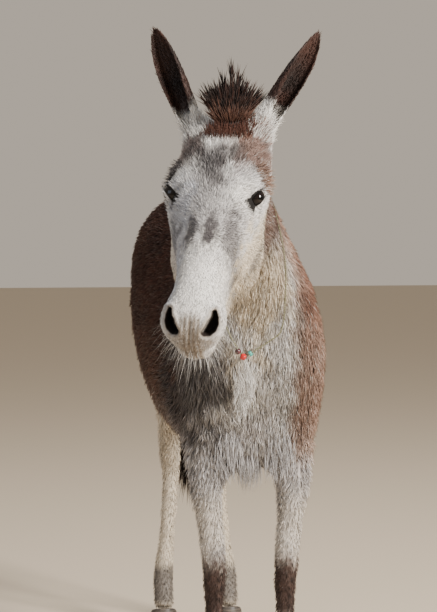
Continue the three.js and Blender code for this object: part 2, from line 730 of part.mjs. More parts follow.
const headSolid = head();
add("head", headSolid, COLOURS.greyFur);
add("neck", neck(), COLOURS.greyFur);
add("trunk", trunk(), COLOURS.brownFur);
add("mane", mane(0).subtract(cord(2 * CUT)), COLOURS.darkFur);
add("forelock", forelock(headSolid), COLOURS.darkFur);
for (const [name, side] of Object.entries(SIDES)) {
  const ear = EARS[name];
  add(`ear_${name}`, ear.solid.intersect(beyond(...ear.cut, CUT)), COLOURS.darkFur);
  add(`eye_${name}`, eyeball(side, EYE_RADIUS), COLOURS.eye);
  const forearm = upperLeg(foreRegion, [20, -480, 240], [220, -160, 800], KNEE_CUT);
  add(`forearm_${name}`, mirrored(forearm, side), COLOURS.greyFur);
  const foreAt = [76, -330];
  const foreCannon = lowerLeg([20, -400], [140, -240], KNEE_CUT, foreAt);
  add(`fore_cannon_${name}`, mirrored(foreCannon, side), COLOURS.paleFur);
  add(`fore_hoof_${name}`, mirrored(hoof(...foreAt), side), COLOURS.horn);
  const thigh = upperLeg(hindRegion, [10, 130, 330], [220, 700, 1000], HOCK_CUT);
  add(`thigh_${name}`, mirrored(thigh, side), COLOURS.brownFur);
  const hindAt = [80, 486];
  const hindCannon = lowerLeg([20, 430], [140, 620], HOCK_CUT, hindAt);
  add(`hind_cannon_${name}`, mirrored(hindCannon, side), COLOURS.paleFur);
  add(`hind_hoof_${name}`, mirrored(hoof(...hindAt), side), COLOURS.horn);
}
const hanging = tailSolid.intersect(beyond(...tailCut, CUT));
const switchTop = [0, 0, TAIL_TUFT];
add("tail", hanging.intersect(beyond(switchTop, [0, 0, 1], CUT)), COLOURS.brownFur);
add("tail_tuft", hanging.intersect(beyond(switchTop, [0, 0, -1], CUT)), COLOURS.darkFur);
add("collar_cord", cord(), COLOURS.cord);
add("bead_red", bead(0, 7, 11), COLOURS.red);
add("bead_dark", bead(-0.015, 6, 10), COLOURS.darkGlass);
add("bead_turquoise", bead(0.016, 6, 8), COLOURS.turquoise);

// The origin is on the ground under the middle of the whole animal.
const bounds = new THREE.Box3().setFromObject(group);
const centre = bounds.getCenter(new THREE.Vector3());
for (const mesh of group.children) mesh.geometry.translate(-centre.x, -centre.y, -bounds.min.z);

export default group;
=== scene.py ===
"""A donkey jenny in winter coat, a still figure at life size, with a beaded cord round her neck.

Metres, +Z up. She faces -Y, and +X is her left side.
"""

import math

import bmesh
import bpy
import numpy as np
from mathutils import Matrix, Vector


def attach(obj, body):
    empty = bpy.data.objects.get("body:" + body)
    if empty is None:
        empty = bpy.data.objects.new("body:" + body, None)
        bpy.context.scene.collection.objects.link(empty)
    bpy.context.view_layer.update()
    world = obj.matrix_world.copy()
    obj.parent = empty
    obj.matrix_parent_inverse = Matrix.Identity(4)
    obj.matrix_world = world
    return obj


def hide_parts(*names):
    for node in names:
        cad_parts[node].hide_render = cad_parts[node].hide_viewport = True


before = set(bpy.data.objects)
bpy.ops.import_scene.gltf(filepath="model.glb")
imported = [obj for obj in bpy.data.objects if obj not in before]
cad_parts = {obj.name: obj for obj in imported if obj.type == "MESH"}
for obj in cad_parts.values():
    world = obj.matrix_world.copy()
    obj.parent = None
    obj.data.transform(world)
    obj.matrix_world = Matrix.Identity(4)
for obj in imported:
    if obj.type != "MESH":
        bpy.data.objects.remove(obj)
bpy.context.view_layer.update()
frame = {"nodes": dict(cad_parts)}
nodes = frame["nodes"]

# ---------------------------------------------------------------- the skin
# Hide over flesh and bone, one closed surface from the lips to the coronets. It is fused from the
# solids of the flesh, eased smooth, and sunk below the coat's tips by the depth of the coat there.
SIDES = {"left": 1, "right": -1}  # each side and the sign of its x in the head's frame
LIMBS = ["forearm", "fore_cannon", "thigh", "hind_cannon"]
FLESH = ["head", "neck", "trunk", "tail"] + [f"{limb}_{side}" for limb in LIMBS for side in SIDES]
SKIN_CELL = 0.0068
SKIN_SWELL = 0.0012

# The head is described level, facing -Y with the poll at its origin, then turned into place.
POLL = np.array([-0.0669, -0.4921, 1.2])
HEAD_TURN = np.array(
    Matrix.Rotation(math.radians(3.5), 3, "Y")
    @ Matrix.Rotation(math.radians(-16.5), 3, "Z")
    @ Matrix.Rotation(math.radians(47), 3, "X")
)


def in_head(points):
    """The head's own x left, y back and z up of points of the whole animal."""
    return (np.asarray(points, float) - POLL) @ HEAD_TURN


def from_head(points):
    return np.asarray(points, float) @ HEAD_TURN.T + POLL


def ramp(value, start, end):
    """0 before start, 1 after end, and eased between them; start may be the larger."""
    t = np.clip((value - start) / (end - start), 0, 1)
    return t * t * (3 - 2 * t)


def unit(vectors):
    return vectors / np.maximum(np.linalg.norm(vectors, axis=-1, keepdims=True), 1e-9)


def head_share(points):
    """1 on the head, 0 on the neck and the rest."""
    local = in_head(points)
    behind = (points - from_head([0, 0.066, 0])) @ unit(np.array([0.28, 0.86, 0.42]))
    below = (local - np.array([0, -0.1, -0.215])) @ np.array([0, 0.35, -0.94])
    return ramp(np.maximum(behind, below), 0.02, -0.02)


def coat_depth(points):
    """How far the coat stands out from the hide."""
    local = in_head(points)
    head = head_share(points)
    face = 0.0026 + 0.0035 * ramp(local[:, 1], -0.3, -0.08) + 0.004 * ramp(local[:, 2], -0.1, -0.18)
    body = 0.009 + 0.004 * ramp(points[:, 2], 0.8, 0.6)
    legs = 0.0045 + 0.0035 * ramp(points[:, 2], 0.3, 0.5)
    body = body + (legs - body) * ramp(points[:, 2], 0.58, 0.46)
    return face * head + body * (1 - head)


def merged(name):
    """A CAD node's faces with shared corners."""
    shape = bmesh.new()
    shape.from_mesh(nodes[name].data)
    bmesh.ops.remove_doubles(shape, verts=shape.verts, dist=1e-5)
    bmesh.ops.recalc_face_normals(shape, faces=shape.faces)
    shape.normal_update()
    return shape


def made(name, shape):
    """A smooth-shaded object from a bmesh, which is freed."""
    mesh = bpy.data.meshes.new(name)
    shape.to_mesh(mesh)
    shape.free()
    mesh.shade_smooth()
    piece = bpy.data.objects.new(name, mesh)
    bpy.context.scene.collection.objects.link(piece)
    return piece


def fused(names, cell, swell=0.0):
    """One closed surface of square cells over all the named nodes, swollen so that cuts close."""
    shape = bmesh.new()
    for name in names:
        part = merged(name)
        for v in part.verts:
            v.co += v.normal * swell
        loose = bpy.data.meshes.new(name)
        part.to_mesh(loose)
        part.free()
        shape.from_mesh(loose)
        bpy.data.meshes.remove(loose)
    rough = made("rough", shape)
    rough.modifiers.new("remesh", "REMESH").voxel_size = cell
    whole = bpy.data.meshes.new_from_object(rough.evaluated_get(bpy.context.evaluated_depsgraph_get()))
    bpy.data.objects.remove(rough)
    shape = bmesh.new()
    shape.from_mesh(whole)
    bpy.data.meshes.remove(whole)
    top = max(shape.verts, key=lambda v: v.co.z)
    keep, edge_of_it = {top}, [top]
    while edge_of_it:
        near = [e.other_vert(v) for v in edge_of_it for e in v.link_edges]
        edge_of_it = list({v for v in near if v not in keep})
        keep.update(edge_of_it)
    bmesh.ops.delete(shape, geom=[v for v in shape.verts if v not in keep], context="VERTS")
    return shape


def corners(shape):
    return np.array([v.co[:] for v in shape.verts])


def normals_of(shape):
    return np.array([v.normal[:] for v in shape.verts])


def edges_of(shape):
    return np.array([[v.index for v in e.verts] for e in shape.edges])


def eased(points, edges, rounds, loose):
    """Points drawn towards the middle of their neighbours, as far as `loose` allows each."""
    a, b = edges.T
    many = len(points)
    count = np.bincount(a, minlength=many) + np.bincount(b, minlength=many)
    for _ in range(rounds):
        middle = np.stack(
            [np.bincount(a, points[b, k], many) + np.bincount(b, points[a, k], many) for k in range(3)],
            axis=1,
        )
        points = points + 0.5 * loose[:, None] * (middle / count[:, None] - points)
    return points


def place(shape, points):
    for v, p in zip(shape.verts, points):
        v.co = p
    shape.normal_update()


def smoothed(shape, rounds):
    """The shape itself, with every corner eased."""
    place(shape, eased(corners(shape), edges_of(shape), rounds, np.ones(len(shape.verts))))
    return shape


# An ear is a leaf of gristle curled into a trumpet, its foot sunk in the head. A row holds the
# share of its length, half its width when flat, half its curl in degrees, and its thickness.
EARS = {
    "right": ([-0.1159, -0.4501, 1.17], [-0.1869, -0.4011, 1.368], [-0.6, -0.8, 0.1]),
    "left": ([-0.0079, -0.4961, 1.176], [0.1061, -0.4761, 1.358], [0.6, -0.8, 0.1]),
}
EAR_ROWS = np.array(
    [
        [0, 0.054, 150, 0.0075],
        [0.15, 0.056, 140, 0.006],
        [0.38, 0.050, 118, 0.0048],
        [0.6, 0.0425, 98, 0.004],
        [0.8, 0.030, 80, 0.0034],
        [0.93, 0.0165, 66, 0.003],
        [1, 0.004, 50, 0.002],
    ]
)
EAR_COAT = 0.0022
EAR_WALL = 0.0035
EAR_CELLS = (22, 40)  # across the leaf and along it


def between(rows, share):
    """A table's values at a share of its first column, on a smooth curve through the rows."""
    at, values = rows[:, 0], rows[:, 1:]
    slopes = np.gradient(values, at, axis=0)
    i = np.clip(np.searchsorted(at, share) - 1, 0, len(at) - 2)
    wide = at[i + 1] - at[i]
    t = (share - at[i]) / wide
    return (
        values[i] * (1 - t) ** 2 * (1 + 2 * t)
        + values[i + 1] * t**2 * (3 - 2 * t)
        + slopes[i] * wide * t * (1 - t) ** 2
        - slopes[i + 1] * wide * t**2 * (1 - t)
    )


def ear_axes(side):
    base, tip, facing = (np.array(p) for p in EARS[side])
    run = tip - base
    opening = unit(facing - run * (facing @ run) / (run @ run))
    return base, run, opening, unit(np.cross(run, opening))


def ear_leaf(side):
    base, run, opening, across = ear_axes(side)
    leaf = bmesh.new()
    bmesh.ops.create_grid(leaf, x_segments=EAR_CELLS[0], y_segments=EAR_CELLS[1], size=1)
    for v in leaf.verts:
        share = v.co.y * 0.497 + 0.497
        flat, curl, _ = between(EAR_ROWS, share)
        half = math.radians(curl)
        radius = flat / half
        turn = half * v.co.x
        fold = 0.0016 * math.sin(3.5 * math.pi * v.co.x) * share * (1 - share) * 3
        rim = radius - EAR_COAT + fold
        middle = radius - 0.021 * (1 - share**2)
        out = middle - math.cos(turn) * rim
        v.co = base + run * share + across * math.sin(turn) * rim + opening * out
    bmesh.ops.solidify(leaf, geom=leaf.faces[:], thickness=EAR_WALL)
    bmesh.ops.recalc_face_normals(leaf, faces=leaf.faces)
    return leaf


def ear_share(points):
    """How far along its ear a point lies, below 0 off the ears, and the side that it belongs to."""
    best = np.full(len(points), -1.0)
    side_of = np.zeros(len(points))
    for side, sign in SIDES.items():
        base, run, _, _ = ear_axes(side)
        share = (points - base) @ run / (run @ run)
        away = np.linalg.norm(points - base - np.clip(share, 0, 1)[:, None] * run, axis=1)
        here = (away < 0.062) & (share > 0.1)
        best = np.where(here, share, best)
        side_of = np.where(here, sign, side_of)
    return best, side_of


# The muzzle and the brow slope alike. A sheet that stands across that slope has the head's own x
# and SLOPE for its axes; INTO points through it into the head.
SLOPE = np.array([0, 0.754, 0.643])
INTO = np.array([0, 0.643, -0.754])

# The eye is a ball in the head's frame. Its opening is an almond drawn on the sheet, from the inner
# corner over the upper lid and back: she is drowsy, so the lids hang low.
EYE_MIDDLE = np.array([0.073, -0.1738, -0.0279])
EYE_RADIUS = 0.0185
EYE_OUT = (0.72, -0.42, 0.55)
EYE_ALONG = (0.6, 0.72, -0.25)
LIDS = {
    1: [
        (0.0630, -0.1652), (0.0668, -0.1583), (0.0723, -0.1475), (0.0796, -0.1385), (0.0862, -0.1335),
        (0.0908, -0.1345), (0.0915, -0.1405), (0.0885, -0.1497), (0.0835, -0.1567), (0.0767, -0.1612),
        (0.0700, -0.1640),
    ],
    -1: [
        (0.0562, -0.1750), (0.0622, -0.1604), (0.0690, -0.1502), (0.0761, -0.1425), (0.0840, -0.1365),
        (0.0905, -0.1372), (0.0872, -0.1445), (0.0780, -0.1545), (0.0690, -0.1640), (0.0612, -0.1718),
    ],
}
UPPER_LID = 5  # the first corners of the almond are the upper lid's
LID_THICK = 0.002
LID_ROUND = 0.0016
LID_CREASE = (0.0022, 0.0075, 0.0018)  # its depth, its distance from the edge and its width


def eye_axes(side):
    """Its middle, and its ways along, up and out, in the head's frame."""
    flip = np.array([side, 1, 1])
    out = unit(np.array(EYE_OUT))
    along = np.array(EYE_ALONG)
    along = unit(along - out * (along @ out))
    return EYE_MIDDLE * flip, along * flip, np.cross(out, along) * flip, out * flip


def outline_gap(flat, outline):
    """Distance from an outline, below 0 inside it."""
    best = np.full(len(flat), 1.0)
    inside = np.zeros(len(flat), bool)
    for a, b in zip(outline, np.roll(outline, -1, axis=0)):
        run = b - a
        t = np.clip((flat - a) @ run / (run @ run), 0, 1)
        best = np.minimum(best, np.linalg.norm(flat - a - t[:, None] * run, axis=1))
        spans = (a[1] > flat[:, 1]) != (b[1] > flat[:, 1])
        rise = np.where(abs(run[1]) < 1e-9, 1e-9, run[1])
        inside ^= spans & (flat[:, 0] < a[0] + (flat[:, 1] - a[1]) / rise * run[0])
    return np.where(inside, -best, best)


def on_ball(flat, side, radius):
    """The place on the near side of an eyeball behind a spot on the sheet, in the head's frame."""
    middle = EYE_MIDDLE * [side, 1, 1]
    off = np.asarray(flat) * [side, 1] - np.array([middle[0], middle @ SLOPE])
    deep = middle @ INTO - np.sqrt(np.maximum(radius**2 - np.sum(off**2, axis=-1), 0))
    spot = np.outer(np.asarray(flat)[:, 1], SLOPE) + np.outer(deep, INTO)
    spot[:, 0] = np.asarray(flat)[:, 0] * side
    return spot


def by_eye(points, side):
    """Points in the eye's own frame, their distance from its middle, and from the lids' edge."""
    middle, along, up, out = eye_axes(side)
    local = in_head(points) - middle
    own = local @ np.stack([along, up, out], axis=1)
    far = np.linalg.norm(own, axis=1)
    near = np.flatnonzero((far < 0.06) & (local @ INTO < 0.15 * far))
    ball = middle + local[near] * (EYE_RADIUS / np.maximum(far[near], 1e-6))[:, None]
    flat = np.stack([ball[:, 0] * side, ball @ SLOPE], axis=1)
    gap = np.full(len(points), 0.03)
    facing = -(local[near] @ INTO) / np.maximum(far[near], 1e-6)
    outside = outline_gap(flat, np.array(LIDS[side]))
    gap[near] = np.where(outside > 0, outside / np.clip(facing, 0.2, 1), outside)
    return own, far, gap


def with_lids(points):
    """The hide drawn onto the eyeball round the opening, and away inside it."""
    depth, off, wide = LID_CREASE
    for side in SIDES.values():
        own, far, gap = by_eye(points, side)
        rim = np.clip(gap / LID_ROUND, 0, 1)
        crease = depth * np.exp(-(((gap - off) / wide) ** 2)) * ramp(own[:, 1], 0, 0.008)
        lid = EYE_RADIUS + LID_THICK * np.sqrt(1 - (1 - rim) ** 2) - crease
        wanted = np.where(gap < 0, EYE_RADIUS - 0.004, lid + 0.12 * np.maximum(gap - 0.004, 0))
        near = ramp(far, 0.046, 0.034) * ramp(gap, 0.019, 0.004)
        reach = far + (wanted - far) * near
        middle, along, up, out = eye_axes(side)
        own = own * (reach / np.maximum(far, 1e-6))[:, None]
        moved = from_head(own @ np.stack([along, up, out], axis=0) + middle)
        points = np.where((near > 0)[:, None], moved, points)
    return points


# Nostrils are commas that lean together below. Each row is a spot of the middle line on the sheet,
# with half the opening's width.
NOSTRIL = [
    (0.0383, -0.3535, 0.0040),
    (0.0390, -0.3625, 0.0062),
    (0.0372, -0.3715, 0.0088),
    (0.0340, -0.3800, 0.0092),
    (0.0292, -0.3862, 0.0078),
    (0.0240, -0.3890, 0.0050),
]
NOSTRIL_DEEP = 0.032
# The line between the lips, by the head's y and z.
MOUTH = [(-0.52, -0.084), (-0.49, -0.088), (-0.455, -0.098), (-0.425, -0.105), (-0.395, -0.116)]


def nostril_gap(local, side):
    """Distance out from a nostril's edge, below 0 inside it."""
    rows = np.array(NOSTRIL) * [side, 1, 1] + [0.001, 0, 0]
    sheet = np.stack([local[:, 0], local @ SLOPE], axis=1)
    best = np.full(len(local), 1.0)
    for a, b in zip(rows[:-1], rows[1:]):
        run = b[:2] - a[:2]
        t = np.clip((sheet - a[:2]) @ run / (run @ run), 0, 1)
        far = np.linalg.norm(sheet - a[:2] - t[:, None] * run, axis=1) - (a[2] + t * (b[2] - a[2]))
        best = np.minimum(best, far)
    return np.where((local[:, 1] < -0.40) & (local[:, 2] > -0.085), best, 1.0)


def either_nostril(local):
    """Distance from the edge of the nearer nostril."""
    return np.minimum(nostril_gap(local, 1), nostril_gap(local, -1))


def with_nose(points, normals):
    """Sinks the nostrils, raises their wings, and folds the lips at the mouth."""
    local = in_head(points)
    for side in SIDES.values():
        gap = nostril_gap(local, side)
        depth = NOSTRIL_DEEP * ramp(gap, 0.0006, -0.0045) ** 0.8
        wing = 0.003 * np.exp(-(((gap - 0.0045) / 0.0035) ** 2)) * ramp(gap, 0, 0.002)
        local = local + np.outer(depth, [-0.1 * side, 0.74, -0.66])
        local = local + (normals @ HEAD_TURN) * wing[:, None]
    line = np.interp(local[:, 1], *np.array(MOUTH).T)
    across = local[:, 2] - line
    fold = 0.0042 * np.exp(-((across / 0.0028) ** 2)) * ramp(local[:, 1], -0.39, -0.41)
    lip = 0.0026 * np.exp(-(((across + 0.012) / 0.009) ** 2)) * ramp(local[:, 1], -0.41, -0.45)
    groove = 0.0022 * np.exp(-(((local[:, 0] - 0.001) / 0.0028) ** 2)) * ramp(local[:, 1], -0.455, -0.475)
    groove = groove * ramp(local[:, 2], -0.09, -0.075)
    local = local + (normals @ HEAD_TURN) * (lip - fold - groove)[:, None]
    return from_head(local)


def finer(shape, where):
    """Cuts the faces whose middles pass `where` in four."""
    middles = np.array([f.calc_center_median()[:] for f in shape.faces])
    chosen = [f for f, yes in zip(shape.faces, where(middles)) if yes]
    edges = list({e for f in chosen for e in f.edges})
    bmesh.ops.subdivide_edges(shape, edges=edges, cuts=1, use_grid_fill=True, smooth=0.3)
    shape.normal_update()


def by_either_eye(points, reach):
    return np.minimum(by_eye(points, 1)[1], by_eye(points, -1)[1]) < reach


def on_face(points):
    return head_share(points) > 0.9


def on_muzzle(points):
    return (in_head(points)[:, 1] < -0.415) & on_face(points)


PLUGS = [(0.040, -0.430, -0.041), (0.041, -0.450, -0.047), (0.029, -0.466, -0.057)]
PLUG_RADIUS = 0.0135


def plugs():
    """Small balls that stop the holes of the nostrils before the hide is fused."""
    shape = bmesh.new()
    for side in SIDES.values():
        for x, y, z in PLUGS:
            spot = Matrix.Translation(from_head([side * x, y, z]))
            bmesh.ops.create_icosphere(shape, subdivisions=2, radius=PLUG_RADIUS, matrix=spot)
    return made("plugs", shape)


nodes["plugs"] = plugs()
hide = fused(FLESH + ["eye_left", "eye_right", "plugs"], SKIN_CELL, SKIN_SWELL)
bpy.data.objects.remove(nodes.pop("plugs"))
spots = corners(hide)
links = edges_of(hide)
slim = np.maximum(head_share(spots), ramp(spots[:, 2], 0.62, 0.5))
spots = eased(spots, links, 12, np.ones(len(spots)))
spots = eased(spots, links, 34, 1 - slim)
place(hide, spots)
place(hide, spots - normals_of(hide) * coat_depth(spots)[:, None])
finer(hide, on_face)
finer(hide, lambda p: by_either_eye(p, 0.036) | on_muzzle(p))
finer(hide, lambda p: by_either_eye(p, 0.031))
hide.verts.index_update()
spots = corners(hide)
spots = eased(spots, edges_of(hide), 4, on_face(spots) * 1.0)
place(hide, spots)
spots = with_nose(spots, normals_of(hide))
place(hide, with_lids(spots))
for side in SIDES:
    leaf = ear_leaf(side)
    loose = bpy.data.meshes.new(side)
    leaf.to_mesh(loose)
    leaf.free()
    hide.from_mesh(loose)
    bpy.data.meshes.remove(loose)
skin = made("skin", hide)
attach(skin, "root")
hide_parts(*FLESH, "ear_left", "ear_right")

# ---------------------------------------------------------------- the markings
# White, grey, rust and dark hairs grow in the same places in the hide's own short hair and in the
# coat, so both take their colours from here. A marking is an oval with a ragged edge, or a band
# between two heights, laid over the ones before it. Tones are in linear light.
TONES = {
    "white": (0.84, 0.83, 0.81),
    "cream": (0.72, 0.62, 0.47),
    "pale": (0.52, 0.51, 0.52),
    # a cool grey that stands for painted shade: the bluish cast of the face's shaded side
    "shade_blue": (0.42, 0.45, 0.53),
    "grey": (0.25, 0.24, 0.25),
    "smoke": (0.075, 0.068, 0.072),
    "rust": (0.175, 0.085, 0.058),
    "brown": (0.10, 0.042, 0.03),
    # dark chestnut hair with painted shade in it, laid on her shaded right side
    "maroon": (0.042, 0.016, 0.013),
    "roan": (0.42, 0.29, 0.23),
    "dark": (0.016, 0.010, 0.009),
    "tan": (0.20, 0.155, 0.11),
}


def tone(name):
    return np.array(TONES[name])


def drift(points, size, seed=0):
    """Smooth noise from -1 to 1 that changes over about `size`."""
    spot = np.asarray(points) / size + 17.3 * seed
    low = np.floor(spot)
    part = spot - low
    part = part * part * (3 - 2 * part)
    total = np.zeros(len(spot))
    for corner in range(8):
        step = np.array([corner & 1, corner >> 1 & 1, corner >> 2 & 1])
        wave = np.sin((low + step) @ np.array([127.1, 311.7, 74.7])) * 43758.5453
        share = np.prod(np.where(step, part, 1 - part), axis=1)
        total += (wave - np.floor(wave)) * share
    return 2 * total - 1


def spread(points, middle, reach, ragged=0.35, size=0.012, seed=1):
    """1 in the middle of an oval, 0 outside it, with a ragged edge. A reach of 0 has no limit."""
    across = np.array([1 / r if r else 0 for r in reach])
    far = np.linalg.norm((points - np.array(middle)) * across, axis=1)
    streaks = 0.8 * ragged * drift(points * [1, 0.3, 1], size * 0.3, seed + 1)
    return ramp(far + ragged * drift(points, size, seed) + streaks, 1.3, 0.6)


# Each marking of the head: its tone, its middle and its reach in the head's frame, its strength.
HEAD_MARKS = [
    ("grey", (0, -0.22, 0.01), (0.05, 0.10, 0), 0.5),
    # painted shade: a bluish cast on the shaded right side of the face
    ("shade_blue", (-0.055, -0.27, -0.02), (0.03, 0.13, 0.08), 0.5),
    ("rust", (0.05, -0.072, 0.01), (0.045, 0.07, 0), 0.85),
    ("rust", (-0.06, -0.085, 0), (0.035, 0.05, 0), 0.65),
    ("rust", (0.005, -0.022, 0), (0.055, 0.03, 0), 0.95),
    ("white", (0.02, -0.085, 0.01), (0.012, 0.04, 0), 0.5),
    ("dark", (-0.092, -0.115, -0.02), (0.022, 0.05, 0.05), 0.75),
    ("smoke", (-0.014, -0.108, 0.01), (0.052, 0.034, 0), 0.8),
    ("smoke", (-0.052, -0.082, 0.0), (0.014, 0.024, 0), 0.5),
    ("smoke", (0.034, -0.092, 0.01), (0.014, 0.024, 0), 0.5),
    ("smoke", (-0.003, -0.15, 0.01), (0.022, 0.035, 0), 0.75),
    ("white", (-0.014, -0.068, 0.01), (0.017, 0.024, 0), 1),
    ("pale", (0.062, -0.145, 0), (0.03, 0.03, 0), 0.7),
    ("white", (0.058, -0.19, 0), (0.028, 0.03, 0), 0.7),
    ("white", (-0.052, -0.14, 0), (0.022, 0.034, 0), 0.5),
    ("smoke", (-0.024, -0.286, 0.01), (0.012, 0.036, 0), 0.85),
    ("smoke", (0.010, -0.268, 0.01), (0.010, 0.03, 0), 0.5),
    ("smoke", (0.009, -0.296, 0.01), (0.015, 0.038, 0), 1),
    ("smoke", (0.014, -0.322, 0.01), (0.005, 0.007, 0), 0.9),
    ("smoke", (0.046, -0.278, -0.01), (0.015, 0.05, 0), 0.72),
    ("smoke", (-0.066, -0.285, -0.05), (0.014, 0.075, 0.03), 0.6),
    ("smoke", (-0.048, -0.262, -0.02), (0.007, 0.010, 0), 0.6),
    ("white", (0, -0.395, 0), (0.055, 0.085, 0), 0.95),
    # painted shade: a bluish cast on the right of the muzzle
    ("shade_blue", (-0.045, -0.375, -0.03), (0.014, 0.08, 0), 0.55),
    ("tan", (0, -0.50, -0.06), (0.05, 0.035, 0.06), 0.55),
    ("cream", (0, -0.33, -0.17), (0.08, 0.12, 0.07), 0.6),
    ("cream", (0.075, -0.25, -0.12), (0.035, 0.14, 0.07), 0.7),
    ("smoke", (0.07, -0.225, -0.125), (0.03, 0.055, 0.011), 0.55),
    ("smoke", (0.058, -0.31, -0.105), (0.03, 0.03, 0.012), 0.45),
]


def over(under, name, share):
    """A tone laid over colours, by its share at each point."""
    return under + (tone(name) - under) * np.clip(share, 0, 1)[:, None]


def head_colours(points):
    """Pale face with the marks above, dark rims to the lids and nostrils, and dark ears."""
    local = in_head(points)
    face = np.tile(tone("pale"), (len(points), 1))
    face = over(face, "white", 0.35 + 0.3 * drift(points, 0.05, 3))
    for name, middle, reach, strength in HEAD_MARKS:
        face = over(face, name, spread(local, middle, reach) * strength)
    for side in SIDES.values():
        own, far, gap = by_eye(points, side)
        thick = np.where(own[:, 1] > 0.004, 0.0030, 0.0016)
        lid = ramp(gap, thick + 0.0012, thick - 0.0004) * ramp(far, 0.045, 0.038)
        face = face + (tone("dark") * 0.2 - face) * lid[:, None]
    nose_rim = either_nostril(local)
    face = over(face, "tan", ramp(nose_rim, 0.008, 0.003) * 0.5)
    face = over(face, "dark", ramp(nose_rim, 0.0016, -0.0004))
    streaks = np.cos(local[:, 0] * 780) * 0.5 + 0.5
    between = ramp(local[:, 1], -0.452, -0.472) * ramp(abs(local[:, 0] - 0.001), 0.021, 0.013)
    face = over(face, "tan", between * (0.25 + 0.6 * streaks))
    ears, _ = ear_share(points)
    dark_ear = ramp(ears + 0.05 * drift(points, 0.012, 5), 0.17, 0.3)
    face = over(face, "white", ramp(ears, 0.0, 0.1) * 0.85)
    face = over(face, "dark", dark_ear)
    return over(face, "brown", dark_ear * (0.22 + 0.25 * drift(points, 0.03, 6)))


def body_colours(points):
    """Dark red-brown back and sides, pale breast and legs, dark knees, rust on her left shoulder; painted
    light on her left side, painted shade on her right, and a painted shadow low on her breast.
    """
    x, y, z = points.T
    fine = drift(points, 0.006, 2)
    broad = drift(points, 0.05, 3)
    # lit is painted light and shade: where the key light falls on her left side she is painted paler and
    # redder, and her right side darker and more flecked
    lit = ramp(x, -0.02, 0.1)
    body = np.tile(tone("brown"), (len(points), 1))
    body = over(body, "maroon", (0.75 + 0.4 * broad) * (1 - 0.75 * lit))
    body = over(body, "roan", ramp(z + 0.06 * broad, 0.86, 0.62) * (0.12 + 0.6 * lit))
    body = over(body, "pale", ramp(z + 0.05 * broad, 0.66, 0.54) * 0.8 * ramp(y, 0.1, -0.1))

    chest = ramp(y + 0.03 * broad, -0.15, -0.25) * ramp(z, 1.0, 0.85)
    breast = ramp(y + 0.03 * broad, -0.2, -0.28) * ramp(z, 1.05, 0.9)
    flecks = ramp(drift(points * [1, 1, 0.35], 0.02, 8), 0.25, 0.7)
    shadow = spread(points, (-0.10, -0.3, 0.68), (0.075, 0.2, 0.17), 0.5, 0.04)
    strip = spread(points, (0.0, -0.33, 0.69), (0.035, 0.1, 0.1), 0.5, 0.02)
    throat = spread(points, (0.02, -0.42, 0.88), (0.11, 0.12, 0.2), 0.4, 0.04) * ramp(z, 1.0, 0.92)
    neck_side = spread(points, (0.12, -0.22, 0.98), (0.06, 0.2, 0.16), 0.4, 0.03)
    body = over(body, "pale", chest * (0.7 + 0.3 * lit))
    body = over(body, "white", breast * (0.5 + 0.35 * fine))
    body = over(body, "grey", chest * flecks * (0.6 - 0.35 * lit))
    body = over(body, "smoke", shadow * 0.85)
    body = over(body, "white", strip * 0.7)
    body = over(body, "cream", throat * 0.75)
    body = over(body, "roan", neck_side * 0.8)

    edge = ramp(x + 0.012 * drift(points, 0.03, 9), 0.088, 0.122)
    shoulder = edge * ramp(y, -0.42, -0.36) * ramp(y, 0.1, -0.1)
    below = shoulder * ramp(z, 0.85, 0.78)
    body = over(body, "rust", shoulder * ramp(z, 0.74, 0.82) * 0.95)
    body = over(body, "roan", below * ramp(z, 0.5, 0.58) * 0.8)
    body = over(body, "rust", below * ramp(z, 0.56, 0.64) * 0.5)

    hind = ramp(y, 0.2, 0.3)
    legs = ramp(z - 0.1 * hind, 0.5, 0.42)
    mottle = ramp(drift(points * [1, 1, 0.5], 0.022, 14), 0.1, 0.6) * ramp(z, 0.55, 0.45)
    knee = ramp(abs(z + 0.02 * fine - 0.262), 0.08, 0.04) * (1 - hind)
    fetlock = ramp(abs(z - 0.115), 0.06, 0.03) * hind
    tail = ramp(y, 0.7, 0.72) * ramp(abs(x), 0.06, 0.04) * ramp(z, 0.75, 0.6)
    body = over(body, "pale", legs)
    body = over(body, "cream", legs * (0.35 + 0.4 * hind))
    body = over(body, "grey", mottle * (1 - hind) * 0.6)
    body = over(body, "brown", knee * 0.9)
    body = over(body, "dark", knee * (0.72 + 0.4 * fine))
    body = over(body, "smoke", fetlock * 0.8)
    return over(body, "smoke", tail * 0.9)


def markings(points):
    """The coat's colour at points of the hide, in linear light."""
    ears, _ = ear_share(points)
    head = np.maximum(head_share(points), (ears > 0) * 1.0)[:, None]
    return head_colours(points) * head + body_colours(points) * (1 - head)


def dress(mesh, colours):
    """Stores a colour at every corner of a mesh, for the hair's material to read."""
    layer = mesh.color_attributes.new("coat", "FLOAT_COLOR", "POINT")
    data = np.ones((len(mesh.vertices), 4), np.float32)
    data[:, :3] = colours
    layer.data.foreach_set("color", data.ravel())


def spots_of(mesh):
    found = np.empty(len(mesh.vertices) * 3)
    mesh.vertices.foreach_get("co", found)
    return found.reshape(-1, 3)


HIDE_SHADE = 0.8  # the hide lies in the coat's shade
dress(skin.data, markings(spots_of(skin.data)) * HIDE_SHADE)


